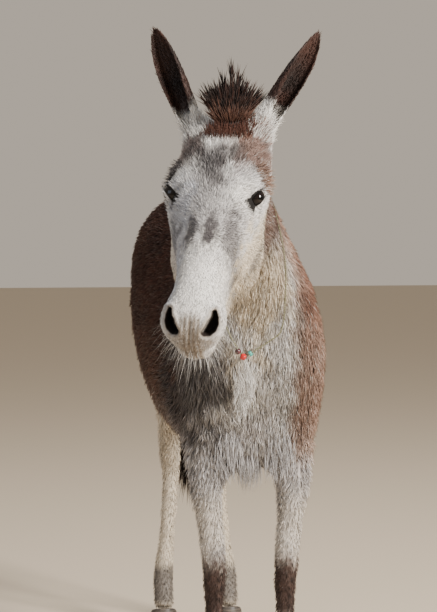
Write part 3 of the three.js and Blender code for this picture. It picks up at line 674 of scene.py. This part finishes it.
class Finish:
    """A material whose steady values sit on the shader itself, and the nodes added to it."""

    def __init__(self, name, **constants):
        self.material = bpy.data.materials.new(name)
        self.material.use_nodes = True
        self.tree = self.material.node_tree
        self.shader = self.tree.nodes["Principled BSDF"]
        for key, value in constants.items():
            self.shader.inputs[key.replace("_", " ")].default_value = value

    def node(self, kind, inputs=None, output=0, stops=None, **settings):
        """Adds a node: its settings first, then the values or links of its sockets."""
        new = self.tree.nodes.new(kind)
        for key, value in settings.items():
            setattr(new, key, value)
        if stops:
            band = new.color_ramp
            while len(band.elements) < len(stops):
                band.elements.new(0.5)
            for element, (at, colour) in zip(band.elements, stops):
                element.position, element.color = at, colour
        for key, value in (inputs or {}).items():
            if isinstance(value, Value):
                self.tree.links.new(value.socket, new.inputs[key])
            else:
                new.inputs[key].default_value = value
        return Value(self, new.outputs[output])

    def feed(self, **values):
        """Links what changes over the surface to the shader."""
        for key, value in values.items():
            self.tree.links.new(value.socket, self.shader.inputs[key.replace("_", " ")])


class Value:
    """A socket in a finish's sums: each sum on it adds a Math node."""

    def __init__(self, finish, socket):
        self.finish = finish
        self.socket = socket

    def sum_with(self, other, operation, flip=False):
        pair = [other, self] if flip else [self, other]
        return self.finish.node("ShaderNodeMath", dict(enumerate(pair)), operation=operation)

    def __add__(self, other):
        return self.sum_with(other, "ADD")

    def __radd__(self, other):
        return self.sum_with(other, "ADD", flip=True)

    def __mul__(self, other):
        return self.sum_with(other, "MULTIPLY")

    def __rmul__(self, other):
        return self.sum_with(other, "MULTIPLY", flip=True)


hair = Finish("hair", Roughness=0.62, Specular_IOR_Level=0.28)
hair.feed(Base_Color=hair.node("ShaderNodeAttribute", attribute_name="coat"))
skin.data.materials.append(hair.material)

# ---------------------------------------------------------------- the coat
# Winter hair, three to four centimetres on the body and under one on the nose. It lies back and
# down, and fans up and out over the forehead. Each small bunch of hairs is one closed three-sided
# lock, rooted in the hide and bent along it, and the locks are joined into a few pieces.
MIDLINE = 0.026  # x of the plane between the trunk's two sides
EAR_FOOT = 0.12  # share of an ear's length where its own coat begins
LEG_TOP = 0.5


def lie(points, normals):
    """The way the hair points, along the hide."""
    local = in_head(points)
    x, y, z = local.T
    many = len(points)
    up = ramp(y, -0.32, -0.27)
    brow = np.stack([x * 1.7, np.maximum(y + 0.29, 0.02), np.zeros(many)], axis=1)
    nose = np.stack([x * 0.9, np.full(many, -0.16), -0.5 * abs(x)], axis=1)
    jaw = np.stack([np.zeros(many), 0.5 * ramp(y, -0.4, -0.2) - 0.2, np.full(many, -1.0)], axis=1)
    face = unit(brow) * up[:, None] + unit(nose) * (1 - up)[:, None]
    low = ramp(z, -0.04, -0.12)[:, None]
    face = face * (1 - low) + unit(jaw) * low
    face = face @ HEAD_TURN.T

    neck = ramp(points[:, 1], -0.1, -0.3)[:, None]
    back = unit(np.array([0, 1, -0.55])) * (1 - neck) + unit(np.array([0, 0.3, -0.95])) * neck
    front = ramp(-normals[:, 1], 0.2, 0.7)[:, None] * neck
    back = back * (1 - front) + np.array([0, 0, -1]) * front
    leg = ramp(points[:, 2], 0.62, 0.5)[:, None]
    back = back * (1 - leg) + np.array([0, 0.12, -1]) * leg
    tail = (ramp(points[:, 1], 0.68, 0.71) * ramp(abs(points[:, 0]), 0.06, 0.04))[:, None]
    back = back * (1 - tail) + np.array([0, 0, -1]) * tail

    head = head_share(points)[:, None]
    way = face * head + back * (1 - head)
    ears, side_of = ear_share(points)
    for side, sign in SIDES.items():
        run = unit(ear_axes(side)[1])
        share = (ramp(ears, 0.05, 0.2) * (side_of == sign))[:, None]
        way = way * (1 - share) + run * share
    wander = np.stack([drift(points, 0.035, seed) for seed in (11, 12, 13)], axis=1)
    way = unit(way) + 0.22 * wander
    return unit(way - normals * np.sum(way * normals, axis=1, keepdims=True))


def rim_gap(p):
    """Distance from the nearest edge of a lid or a nostril."""
    lids = [np.where(far < 0.04, gap, 1.0) for _, far, gap in (by_eye(p, side) for side in (1, -1))]
    return np.minimum(np.minimum(*lids), either_nostril(in_head(p)))


def hair_length(points):
    """Shortest by the lids and nostrils, short on the face and feet, longest on the body."""
    local = in_head(points)
    head = head_share(points)
    face = 0.0068 + 0.008 * ramp(local[:, 1], -0.3, -0.1)
    face = face + 0.014 * ramp(local[:, 2], -0.09, -0.2) * ramp(local[:, 1], -0.44, -0.36)
    face = face * (1 - 0.45 * ramp(local[:, 1], -0.43, -0.47))
    face = face * (0.3 + 0.7 * ramp(rim_gap(points), 0, 0.011))
    body = 0.03 + 0.008 * ramp(points[:, 2], 0.8, 0.65) - 0.01 * ramp(points[:, 2], 0.66, 0.55)
    legs = 0.0085 + 0.009 * ramp(points[:, 2], 0.3, 0.5)
    body = body + (legs - body) * ramp(points[:, 2], 0.58, 0.46)
    ears, _ = ear_share(points)
    return np.where(ears > 0.15, 0.011, face * head + body * (1 - head))


def ground_of(mesh):
    """A mesh's triangles, corners and normals, for hair to be rooted on."""
    mesh.calc_loop_triangles()
    triangles = np.empty(len(mesh.loop_triangles) * 3, np.int64)
    mesh.loop_triangles.foreach_get("vertices", triangles)
    normals = np.empty(len(mesh.vertices) * 3)
    mesh.vertices.foreach_get("normal", normals)
    return triangles.reshape(-1, 3), spots_of(mesh), normals.reshape(-1, 3)


skin_ground = ground_of(skin.data)


def sown(rng, spacing, where, ground):
    """Roots about `spacing` apart on the faces of the ground whose middles pass `where`."""
    triangles, spots, corner_normals = ground
    middle = spots[triangles].mean(axis=1)
    share = where(middle) / spacing**2
    a, b, c = (spots[triangles[:, k]] for k in range(3))
    area = np.linalg.norm(np.cross(b - a, c - a), axis=1) / 2
    order = np.lexsort(tuple(np.floor(middle / 0.02).astype(int).T))
    total = np.cumsum((share * area)[order])
    picks = np.arange(rng.random(), total[-1], 1.0)
    chosen = order[np.searchsorted(total, picks)]
    u, v = rng.random((2, len(chosen)))
    u, v = np.where(u + v > 1, 1 - u, u), np.where(u + v > 1, 1 - v, v)
    weights = np.stack([1 - u - v, u, v], axis=1)[:, :, None]
    roots = (spots[triangles[chosen]] * weights).sum(axis=1)
    normals = unit((corner_normals[triangles[chosen]] * weights).sum(axis=1))
    return roots, normals


def unrolled(points):
    """Each root's place on the hide unrolled flat: head, body, legs and ears in their own tiles."""
    local = in_head(points)
    ears, side_of = ear_share(points)
    body = head_share(points) <= 0.5
    low = body & (points[:, 2] < LEG_TOP)
    ear = ears > 0.1
    tile = np.zeros((len(points), 2))
    tile[body] = (0, 0.5)
    tile[low] = (0.5, 0.5)
    tile[ear] = (0.5, 0)

    # The head and the trunk unroll round their lengths.
    u = np.arctan2(local[:, 0], local[:, 2] + 0.07) / (2 * math.pi) + 0.5
    v = ramp(local[:, 1], -0.6, 0.2)
    around = np.arctan2(points[:, 0], points[:, 2] - 0.8) / (2 * math.pi) + 0.5
    along = (points[:, 1] + 0.6) / 1.5
    u = np.where(body, around, u)
    v = np.where(body, along, v)

    # Each leg unrolls round its own middle, in a quarter of the legs' tile.
    rear = points[:, 1] > 0.2
    foot = np.where(rear, 0.55, -0.22)
    limb = np.where(points[:, 0] > MIDLINE, 0.1, -0.05)
    turn = np.arctan2(points[:, 0] - limb, points[:, 1] - foot) / (2 * math.pi) + 0.5
    u = np.where(low, (turn + (limb > 0)) / 2, u)
    v = np.where(low, (points[:, 2] / LEG_TOP + rear) / 2, v)

    u = np.where(ear, (u + (side_of > 0)) / 2, u)
    v = np.where(ear, np.clip(ears, 0, 1), v)
    return 0.01 + 0.98 * (tile + 0.49 * np.stack([np.clip(u, 0, 1), np.clip(v, 0, 1)], axis=1))


UV_PATCH = 0.003


def locks(name, spines, tops, widths, colours, taper=0.25):
    """Closed three-sided locks along their spines, each ending in a point.

    Spines are locks x stations x 3, tops are the outward ways, and widths are at the roots. The
    colours are those of the roots and those of the tips.
    """
    many, stations, _ = spines.shape
    run = unit(np.diff(spines, axis=1))
    run = np.concatenate([run, run[:, -1:]], axis=1)
    across = unit(np.cross(run, tops[:, None, :]))
    rise = np.cross(across, run)
    share = np.linspace(0, 1, stations)
    girth = (widths[:, None] * (1 - share[None] ** 1.5 * (1 - taper)))[:, :, None] / 2
    sides = [spines - across * girth, spines + across * girth, spines + rise * girth * 1.1]
    rings = np.stack(sides, axis=2)
    body = rings[:, :-1].reshape(many, -1, 3)
    spots = np.concatenate([body, spines[:, -1:]], axis=1)
    each = spots.shape[1]
    faces = [[0, 2, 1]]
    for k in range(stations - 2):
        for i in range(3):
            a, b = 3 * k + i, 3 * k + (i + 1) % 3
            faces += [[a, b, b + 3], [a, b + 3, a + 3]]
    last = 3 * (stations - 2)
    faces += [[last + i, last + (i + 1) % 3, each - 1] for i in range(3)]
    triangles = np.array(faces)[None] + each * np.arange(many)[:, None, None]
    mesh = bpy.data.meshes.new(name)
    mesh.vertices.add(many * each)
    mesh.vertices.foreach_set("co", spots.ravel())
    mesh.loops.add(triangles.size)
    mesh.loops.foreach_set("vertex_index", triangles.ravel())
    mesh.polygons.add(triangles.size // 3)
    mesh.polygons.foreach_set("loop_start", np.arange(0, triangles.size, 3))
    mesh.update(calc_edges=True)
    mesh.shade_smooth()
    reach = np.append(np.repeat(share[:-1], 3), 1.0)[None, :, None]
    root, tip = colours
    dress(mesh, (root[:, None] * (1 - reach) + tip[:, None] * reach).reshape(-1, 3))
    aside = np.append(np.tile([0, 1, 0.5], stations - 1), 0.5)
    patch = np.stack([aside * UV_PATCH, reach[0, :, 0] * UV_PATCH], axis=1)
    spot = unrolled(spines[:, 0])[:, None, :] + patch[None]
    flat = mesh.uv_layers.new(name="OFBake")
    flat.data.foreach_set("uv", spot.reshape(-1, 2)[triangles.ravel()].ravel())
    mesh.materials.append(hair.material)
    piece = bpy.data.objects.new(name, mesh)
    bpy.context.scene.collection.objects.link(piece)
    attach(piece, "root")
    return piece


ROOT_SHADE = 0.62
TIP_SHADE = 1.12
ROOT_SUNK = 0.0008
DARK_HAIRS = 0.08  # the share of dark locks among pale ones
WHITE_HAIRS = 0.06  # the share of white locks among coloured ones


def coat(name, seed, spacing, where, width, stations=3):
    """One piece of the coat: its roots, and a lock on each."""
    rng = np.random.default_rng(seed)
    roots, normals = sown(rng, spacing, where, skin_ground)
    many = len(roots)
    way = lie(roots, normals)
    aside = np.cross(way, normals)
    clump = 0.3 * drift(roots, 0.012, 21) + 0.12 * rng.standard_normal(many)
    way = unit(way + aside * clump[:, None])
    long = hair_length(roots) * rng.uniform(0.7, 1.15, many)
    high = coat_depth(roots) * rng.uniform(0.45, 1.25, many) * (1 + 0.3 * drift(roots, 0.02, 22))
    ears, _ = ear_share(roots)
    high = np.where(ears > 0.1, EAR_COAT * rng.uniform(0.3, 1.2, many), high)
    bend = rng.normal(0, 0.16, many) * long
    share = np.linspace(0, 1, stations)[None, :, None]
    spines = (
        (roots - normals * ROOT_SUNK)[:, None]
        + way[:, None] * long[:, None, None] * share
        + normals[:, None] * high[:, None, None] * share * (1.55 - 0.55 * share)
        + aside[:, None] * bend[:, None, None] * share**2
    )
    base = markings(roots + way * 0.003)
    shade = np.exp(rng.normal(0, 0.2, many) + 0.2 * drift(roots, 0.008, 23))[:, None]
    grizzle = rng.random(many)[:, None]
    base = base * shade
    light = base.mean(axis=1, keepdims=True)
    base = np.where((grizzle > 1 - DARK_HAIRS) & (light > 0.1), base * 0.5, base)
    white = grizzle < WHITE_HAIRS * ramp(light, 0.05, 0.2)
    base = np.where(white, base * 0.5 + tone("white") * 0.35, base)
    thick = width * rng.uniform(0.75, 1.2, many)
    piece = locks(name, spines, normals, thick, (base * ROOT_SHADE, base * TIP_SHADE))
    return piece


def of_face(p):
    return (head_share(p) > 0.5) & ~on_ear(p) & (rim_gap(p) > 0.0012)


def above_cheeks(p):
    return in_head(p)[:, 2] > -0.07


def on_ear(p):
    return ear_share(p)[0] >= EAR_FOOT


def elsewhere(p):
    return (head_share(p) <= 0.5) & ~on_ear(p)


def of_neck(p):
    return elsewhere(p) & (p[:, 1] < -0.19) & (p[:, 2] > 0.56)


def of_leg(p):
    return elsewhere(p) & (p[:, 2] < LEG_TOP) & ~of_neck(p)


def of_trunk(p):
    return elsewhere(p) & ~of_neck(p) & ~of_leg(p)


def on_left(p):
    return p[:, 0] > MIDLINE


coat("coat_face", 31, 0.0027, lambda p: of_face(p) & above_cheeks(p), 0.0013)
coat("coat_cheeks", 32, 0.0030, lambda p: of_face(p) & ~above_cheeks(p), 0.0013)
coat("coat_ears", 33, 0.0036, on_ear, 0.0015)
coat("coat_neck", 34, 0.0039, of_neck, 0.0018)
coat("coat_legs", 36, 0.0047, of_leg, 0.0017)
coat("coat_left", 37, 0.0068, lambda p: of_trunk(p) & on_left(p), 0.003)
coat("coat_right", 38, 0.0068, lambda p: of_trunk(p) & ~on_left(p), 0.003)

# ---------------------------------------------------------------- the eyes
# Dark brown, wet eyes with a level oval pupil, set deep between the lids. Each is one ball with a
# slightly raised cornea, and short dark lashes stand along the upper lids.
CORNEA = (0.05, 0.16)  # its rise as a share of the ball's radius, and its width
eye_finish = Finish("eye", Roughness=0.08, Coat_Weight=0.08, Coat_Roughness=0.02, Specular_IOR_Level=0.3)
gaze = eye_finish.node("ShaderNodeAttribute", output="Vector", attribute_name="gaze")
spokes = eye_finish.node("ShaderNodeTexNoise", {"Vector": gaze, "Scale": 9.0, "Detail": 4.0})
oval = eye_finish.node("ShaderNodeVectorMath", {0: gaze, 1: (1.0, 1.7, 0)}, operation="MULTIPLY")
wide = eye_finish.node("ShaderNodeVectorMath", {0: oval}, output="Value", operation="LENGTH")
iris = eye_finish.node(
    "ShaderNodeValToRGB",
    {0: wide + spokes * 0.12},
    stops=[
        (0.42, (0.001, 0.001, 0.001, 1)),
        (0.52, (0.007, 0.004, 0.003, 1)),
        (0.75, (0.004, 0.002, 0.002, 1)),
        (0.95, (0.002, 0.002, 0.002, 1)),
    ],
)
eye_finish.feed(Base_Color=iris)

for name, side in SIDES.items():
    middle, along, up, out = eye_axes(side)
    ball = bmesh.new()
    bmesh.ops.create_uvsphere(ball, u_segments=48, v_segments=32, radius=EYE_RADIUS)
    own = corners(ball)
    front = unit(own)[:, 2]
    gazes = own / EYE_RADIUS
    own = own * (1 + CORNEA[0] * np.exp(-(((1 - front) / CORNEA[1]) ** 2)))[:, None]
    place(ball, from_head(own @ np.stack([along, up, out], axis=0) + middle))
    bmesh.ops.recalc_face_normals(ball, faces=ball.faces)
    eye = made(f"eyeball_{name}", ball)
    layer = eye.data.attributes.new("gaze", "FLOAT_VECTOR", "POINT")
    layer.data.foreach_set("vector", (gazes * [1, 1, 0]).ravel())
    eye.data.materials.append(eye_finish.material)
    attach(eye, "root")
    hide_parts(f"eye_{name}")


def strands(
    name, roots, ways, normals, long, width, colours, droop=0.0, stations=4, wave=0.0
):
    """Free hairs: each starts at its root, runs its own way and droops towards the ground."""
    share = np.linspace(0, 1, stations)[None, :, None]
    fall = np.array([0, 0, -1.0]) * droop
    aside = unit(np.cross(ways, normals))[:, None]
    sway = wave * np.sin(7.5 * share + 0.8 * drift(roots, 0.02, 31)[:, None, None]) * share
    course = ways[:, None] * share + fall * share**2 + aside * sway
    piece = locks(name, roots[:, None] + course * long[:, None, None], normals, width, colours, taper=0.1)
    return piece


LASHES = 34  # along each upper lid
rng = np.random.default_rng(61)
lash_roots, lash_ways = [], []
for side in SIDES.values():
    edge_line = np.array(LIDS[side][:UPPER_LID])
    steps = np.linspace(0.7, UPPER_LID - 1.05, LASHES)
    flat = np.stack([np.interp(steps, range(UPPER_LID), edge_line[:, k]) for k in (0, 1)], axis=1)
    arc = on_ball(flat, side, EYE_RADIUS + 0.0012)
    lean = unit(arc - EYE_MIDDLE * [side, 1, 1]) + SLOPE * 0.35 - INTO * 0.25
    lash_roots.append(from_head(arc))
    lash_ways.append(unit(lean + rng.normal(0, 0.1, arc.shape)) @ HEAD_TURN.T)
lash_roots = np.concatenate(lash_roots)
lash_ways = np.concatenate(lash_ways)
many = len(lash_roots)
black = np.tile(tone("dark") * 0.6, (many, 1))
strands(
    "lashes",
    lash_roots,
    lash_ways,
    lash_ways[:, [1, 2, 0]],
    rng.uniform(0.004, 0.0075, many),
    np.full(many, 0.0006),
    (black, black),
    droop=0.45,
)

# ---------------------------------------------------------------- whiskers
# Long stiff pale hairs on the lips and the chin, mostly short with a few long ones between. Each
# is a thin three-sided strand rooted in the hide.
WHISKER_EDGE = -0.236  # x that none passes: on her right they are trimmed to it


def of_lips(p):
    local = in_head(p)
    low = ramp(local[:, 2], -0.045, -0.085) * ramp(local[:, 1], -0.38, -0.42)
    return low * (rim_gap(p) > 0.004) * (head_share(p) > 0.5)


roots, normals = sown(rng, 0.009, of_lips, skin_ground)
many = len(roots)
forward = np.array([0, -0.5, -0.5]) @ HEAD_TURN.T
ways = unit(normals * 0.9 + forward * 0.35 + rng.normal(0, 0.22, (many, 3)))
long = rng.uniform(0.012, 0.05, many) * np.where(rng.random(many) < 0.3, 1.1, 0.6)
room = (roots[:, 0] - WHISKER_EDGE) / np.maximum(-ways[:, 0], 0.05)
long = np.minimum(long, np.maximum(room, 0.004))
shade = tone("white") * rng.uniform(0.35, 1.0, (many, 1))
strands(
    "whiskers",
    roots,
    ways,
    ways[:, [1, 2, 0]],
    long,
    np.full(many, 0.00042),
    (shade, shade),
    droop=0.35,
)

# ---------------------------------------------------------------- tufts
# Longer soft hair stands out of the coat in a few places: pale fluff round the feet of the ears,
# dark bristles at the temples, a wavy strip down the breast and wisps between the forelegs.


def tuft(name, seed, spacing, middle, reach, way, long, tint, wave=0.0, loose=0.2):
    """Hairs on the hide within an oval: the way is added to the hide's own outward way."""
    rng = np.random.default_rng(seed)

    def here(p):
        far = np.linalg.norm((p - np.array(middle)) / np.array(reach), axis=1)
        return (far < 1) & (rim_gap(p) > 0.004)

    roots, normals = sown(rng, spacing, here, skin_ground)
    many = len(roots)
    ways = unit(np.array(way) + 0.45 * normals + rng.normal(0, loose, (many, 3)))
    shade = tone(tint) * rng.uniform(0.65, 1.15, (many, 1))
    return strands(
        name,
        roots,
        ways,
        normals,
        long * rng.uniform(0.5, 1.1, many),
        rng.uniform(0.0011, 0.0019, many),
        (shade * 0.8, shade),
        droop=0.12,
        stations=6,
        wave=wave,
    )


for name, side in SIDES.items():
    base, run, _, _ = ear_axes(name)
    foot = base + run * 0.02
    wide = (0.034, 0.05, 0.036)
    tuft(f"ear_fluff_{name}", 71 + side, 0.0044, foot, wide, unit(run) * 1.1, 0.02, "white")
    temple = from_head([side * 0.088, -0.118, -0.03])
    outward = np.array([side * 0.75, -0.1, 0.65]) @ HEAD_TURN.T
    bristle = "smoke" if side < 0 else "roan"
    tuft(f"temple_{name}", 75 + side, 0.0038, temple, (0.026, 0.036, 0.034), outward, 0.02, bristle)
    elbow = (0.03 + 0.05 * side, -0.215, 0.56)
    tuft(f"armpit_{name}", 81 + side, 0.005, elbow, (0.03, 0.05, 0.05), (0, -0.3, -1), 0.045, "pale")
poll = from_head([0.008, -0.03, 0])
tuft("poll_tuft", 78, 0.0034, poll, (0.048, 0.032, 0.03), (0, -0.2, 1.0), 0.03, "brown", loose=0.36)
breast = (-0.004, -0.31, 0.705)
hang = (0, -0.1, -1.2)
tuft("breast_strip", 85, 0.0046, breast, (0.019, 0.12, 0.052), hang, 0.042, "white", 0.16, 0.12)
point = (0.022, -0.2, 0.53)
hang = (0, -0.1, -1.3)
tuft("breast_point", 86, 0.004, point, (0.022, 0.05, 0.04), hang, 0.05, "pale", 0.05, 0.1)

# ---------------------------------------------------------------- the hide under the coat
# Every hair is rooted by now, so the hide that the long coat covers is made of fewer faces, while
# the head keeps all of its own for the lids, nostrils and lips.
covered = skin.vertex_groups.new(name="covered")
behind_head = np.flatnonzero(head_share(spots_of(skin.data)) < 0.02)
covered.add(behind_head.tolist(), 1.0, "REPLACE")
thinner = skin.modifiers.new("thinner", "DECIMATE")
thinner.vertex_group = "covered"
thinner.ratio = 0.68  # the share of all the faces that is kept

# ---------------------------------------------------------------- forelock, mane and tail switch
# Brown-black hair: an upright fan between the ears, a short standing mane and a switch on the tail.
# Each has a dark core of the hair's own mass, with pointed locks rooted all over it.
FAN_MIDDLE = from_head([0.006, 0, -0.008])
# The node, its core's cell and sinking, then the locks' spacing, length and width.
DARK_HAIR = [
    ("forelock", 0.0055, 0.004, 0.0033, 0.036, 0.0022),
    ("mane", 0.0055, 0.003, 0.0048, 0.03, 0.0026),
    ("tail_tuft", 0.0065, 0.006, 0.0052, 0.09, 0.003),
]


def lift_of(name, points):
    """The way the dark hair grows."""
    if name == "tail_tuft":
        return np.tile([0.0, 0.05, -1.0], (len(points), 1))
    if name == "mane":
        return np.tile([0.02, -0.35, 0.9], (len(points), 1))
    away = points - (FAN_MIDDLE - [0, 0, 0.035])
    away[:, 1] = away[:, 1] * 0.4
    return away


for name, cell, deep, spacing, long, width in DARK_HAIR:
    core = fused([name], cell)
    spots = eased(corners(core), edges_of(core), 3, np.ones(len(core.verts)))
    place(core, spots)
    place(core, spots - normals_of(core) * deep)
    core = made(f"{name}_core", core)
    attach(core, "root")
    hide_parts(name)
    dress(core.data, tone("dark") * (1 + 0.4 * drift(spots_of(core.data), 0.006, 7))[:, None])
    core.data.materials.append(hair.material)
    roots, normals = sown(rng, spacing, lambda p: np.ones(len(p)), ground_of(core.data))
    many = len(roots)
    ways = unit(unit(lift_of(name, roots)) + 0.22 * normals + rng.normal(0, 0.11, (many, 3)))
    tint = tone("dark") * 0.8 + (tone("brown") * 0.5 - tone("dark")) * rng.random((many, 1)) ** 4
    if name == "forelock":
        low = ramp(roots[:, 2] + 0.008 * rng.standard_normal(many), 1.212, 1.19)[:, None]
        tint = tint + (tone("rust") * 0.6 - tint) * low * 0.8
    strands(
        f"{name}_hair",
        roots - normals * 0.002,
        ways,
        normals,
        long * rng.uniform(0.5, 1.15, many),
        width * rng.uniform(0.7, 1.2, many),
        (tint * 0.7, tint * 1.3),
        droop=0.06,
    )

# ---------------------------------------------------------------- hooves
# Dark slaty horn with fine rings of growth, rough below and a little shiny above. Each hoof is the
# solid's own shape with its edges worn round.
HOOF_CELL = 0.004
horn = Finish("horn")
spot = horn.node("ShaderNodeTexCoord", output="Object")
height = horn.node("ShaderNodeSeparateXYZ", {0: spot}, output=2)
grain = horn.node("ShaderNodeTexNoise", {"Vector": spot, "Scale": 60.0, "Detail": 6.0})
rings = horn.node("ShaderNodeMath", {0: height * 900 + grain * 5}, operation="SINE")
horn_tone = horn.node(
    "ShaderNodeValToRGB",
    {0: grain * 0.8 + rings * 0.12 + 0.1},
    stops=[
        (0.25, (0.035, 0.029, 0.026, 1)),
        (0.55, (0.075, 0.062, 0.052, 1)),
        (0.8, (0.14, 0.115, 0.09, 1)),
    ],
)
ridges = horn.node("ShaderNodeBump", {"Height": rings * 0.5 + grain, "Distance": 0.0006, "Strength": 0.6})
horn.feed(Base_Color=horn_tone, Roughness=grain * 0.3 + 0.4, Normal=ridges)
for limb in ("fore_hoof", "hind_hoof"):
    for side in SIDES:
        shape = smoothed(fused([f"{limb}_{side}"], HOOF_CELL), 4)
        hoof = made(f"{limb}_horn_{side}", shape)
        hoof.data.materials.append(horn.material)
        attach(hoof, "root")
        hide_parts(f"{limb}_{side}")

# ---------------------------------------------------------------- cord and beads
# An olive cotton cord of two twisted strands, sunk in the winter hair, with three beads of polished
# glass hanging from it at the throat.
TWIST = 0.009  # the length of one turn of the strands
STRAND_RADIUS = 0.00095
STRAND_OFF = 0.00085  # from the cord's middle line
STRAND_SIDES = 6
SUNK = 0.013
cotton = Finish("cotton")
spot = cotton.node("ShaderNodeTexCoord", output="Object")
fibre = cotton.node("ShaderNodeTexNoise", {"Vector": spot, "Scale": 900.0, "Detail": 3.0})
cotton_tone = cotton.node(
    "ShaderNodeValToRGB",
    {0: fibre},
    stops=[(0.3, (0.10, 0.10, 0.06, 1)), (0.7, (0.26, 0.25, 0.16, 1))],
)
cotton.feed(Base_Color=cotton_tone, Roughness=fibre * 0.2 + 0.75)

# The middle line runs through the solid cord's own rings of corners.
cord_spots = corners(merged("collar_cord"))
hub = cord_spots.mean(axis=0)
bearing = np.arctan2((cord_spots - hub)[:, 0], (cord_spots - hub)[:, 2])
steps = np.linspace(-math.pi, math.pi, 49)
ring = []
for a, b in zip(steps[:-1], steps[1:]):
    here = cord_spots[(bearing >= a) & (bearing < b)]
    if len(here):
        ring.append(here.mean(axis=0))
ring = np.array(ring)
high = ramp(ring[:, 2], ring[:, 2].min() + 0.02, ring[:, 2].min() + 0.12)
ring = ring + unit(hub - ring) * (SUNK * high)[:, None]

# A smooth closed curve through the ring, and the two strands wound round it.
turns = np.arange(0, len(ring), 0.05)
low = np.floor(turns).astype(int)
t = (turns - low)[:, None]
before, at, after, beyond = (ring[(low + k) % len(ring)] for k in (-1, 0, 1, 2))
path = 0.5 * (
    2 * at
    + (after - before) * t
    + (2 * before - 5 * at + 4 * after - beyond) * t**2
    + (3 * at - before - 3 * after + beyond) * t**3
)
run = unit(np.roll(path, -1, axis=0) - np.roll(path, 1, axis=0))
sideways = unit(np.cross(run, path - hub))
lift = np.cross(sideways, run)
length = np.cumsum(np.linalg.norm(path - np.roll(path, 1, axis=0), axis=1))
cord = bmesh.new()
for strand in (0, math.pi):
    spin = length * round(length[-1] / TWIST) / length[-1] * 2 * math.pi + strand
    heart = path + (np.cos(spin)[:, None] * sideways + np.sin(spin)[:, None] * lift) * STRAND_OFF
    rows = []
    for middle, aside, up in zip(heart, sideways, lift):
        angles = [k * 2 * math.pi / STRAND_SIDES for k in range(STRAND_SIDES)]
        rim = [(aside * math.cos(a) + up * math.sin(a)) * STRAND_RADIUS for a in angles]
        rows.append([cord.verts.new(middle + off) for off in rim])
    for one, two in zip(rows, rows[1:] + rows[:1]):
        for k in range(STRAND_SIDES):
            beside = (k + 1) % STRAND_SIDES
            cord.faces.new([one[k], one[beside], two[beside], two[k]])
bmesh.ops.recalc_face_normals(cord, faces=cord.faces)
cord = made("cord", cord)
cord.data.materials.append(cotton.material)
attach(cord, "root")
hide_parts("collar_cord")

# The beads' glass is cloudy: a deep tone and a light one run through each.
BEAD_CELL = 0.0009
GLASS = {
    "bead_red": ((0.36, 0.006, 0.008, 1), (0.62, 0.02, 0.02, 1)),
    "bead_dark": ((0.035, 0.008, 0.012, 1), (0.09, 0.02, 0.03, 1)),
    "bead_turquoise": ((0.02, 0.22, 0.19, 1), (0.06, 0.42, 0.36, 1)),
}
for name, (deep_tone, light_tone) in GLASS.items():
    glass = Finish(name, Roughness=0.16, Coat_Weight=0.6)
    spot = glass.node("ShaderNodeTexCoord", output="Object")
    cloud = glass.node("ShaderNodeTexNoise", {"Vector": spot, "Scale": 220.0, "Detail": 3.0})
    swirl = glass.node("ShaderNodeValToRGB", {0: cloud}, stops=[(0.35, deep_tone), (0.65, light_tone)])
    glass.feed(Base_Color=swirl)
    bead = made(f"{name}_glass", smoothed(fused([name], BEAD_CELL), 6))
    bead.data.materials.append(glass.material)
    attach(bead, "root")
    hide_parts(name)

# ---------------------------------------------------------------- the floor, the light and the camera
# A plain pale floor, a broad warm light from her left, a weak cool one from her right, and a long
# lens at the height of her withers.
bpy.ops.mesh.primitive_plane_add(size=40)
floor = bpy.context.object
floor.name = "floor"
paint = Finish("floor", Base_Color=(0.56, 0.48, 0.38, 1), Roughness=0.9)
floor.data.materials.append(paint.material)


def softbox(name, place, aim, size, power, colour):
    lamp = bpy.data.lights.new(name, "AREA")
    lamp.shape = "RECTANGLE"
    lamp.size = lamp.size_y = size
    lamp.energy = power
    lamp.color = colour
    holder = bpy.data.objects.new(name, lamp)
    bpy.context.scene.collection.objects.link(holder)
    holder.location = place
    holder.rotation_euler = (Vector(aim) - Vector(place)).to_track_quat("-Z", "Y").to_euler()


softbox("key", (3.0, -3.4, 2.9), (0, -0.3, 0.8), 1.4, 620, (1.0, 0.93, 0.84))
softbox("fill", (-3.6, -3.4, 2.6), (0, -0.2, 0.9), 3.0, 60, (0.72, 0.84, 1.0))
softbox("top", (0, 1.5, 4.2), (0, 0.3, 0.8), 3.0, 70, (1, 1, 1))

world = bpy.data.worlds.new("studio")
bpy.context.scene.world = world
world.use_nodes = True
world.node_tree.nodes["Background"].inputs["Color"].default_value = (0.92, 0.81, 0.68, 1)
world.node_tree.nodes["Background"].inputs["Strength"].default_value = 0.55

lens = bpy.data.cameras.new("camera")
lens.lens = 111.5
lens.sensor_width = 36
camera = bpy.data.objects.new("camera", lens)
bpy.context.scene.collection.objects.link(camera)
camera.location = (-0.596, -3.932, 1.04)
camera.rotation_euler = (math.radians(90 - 3.05), 0, math.radians(-8.5))
bpy.context.scene.camera = camera
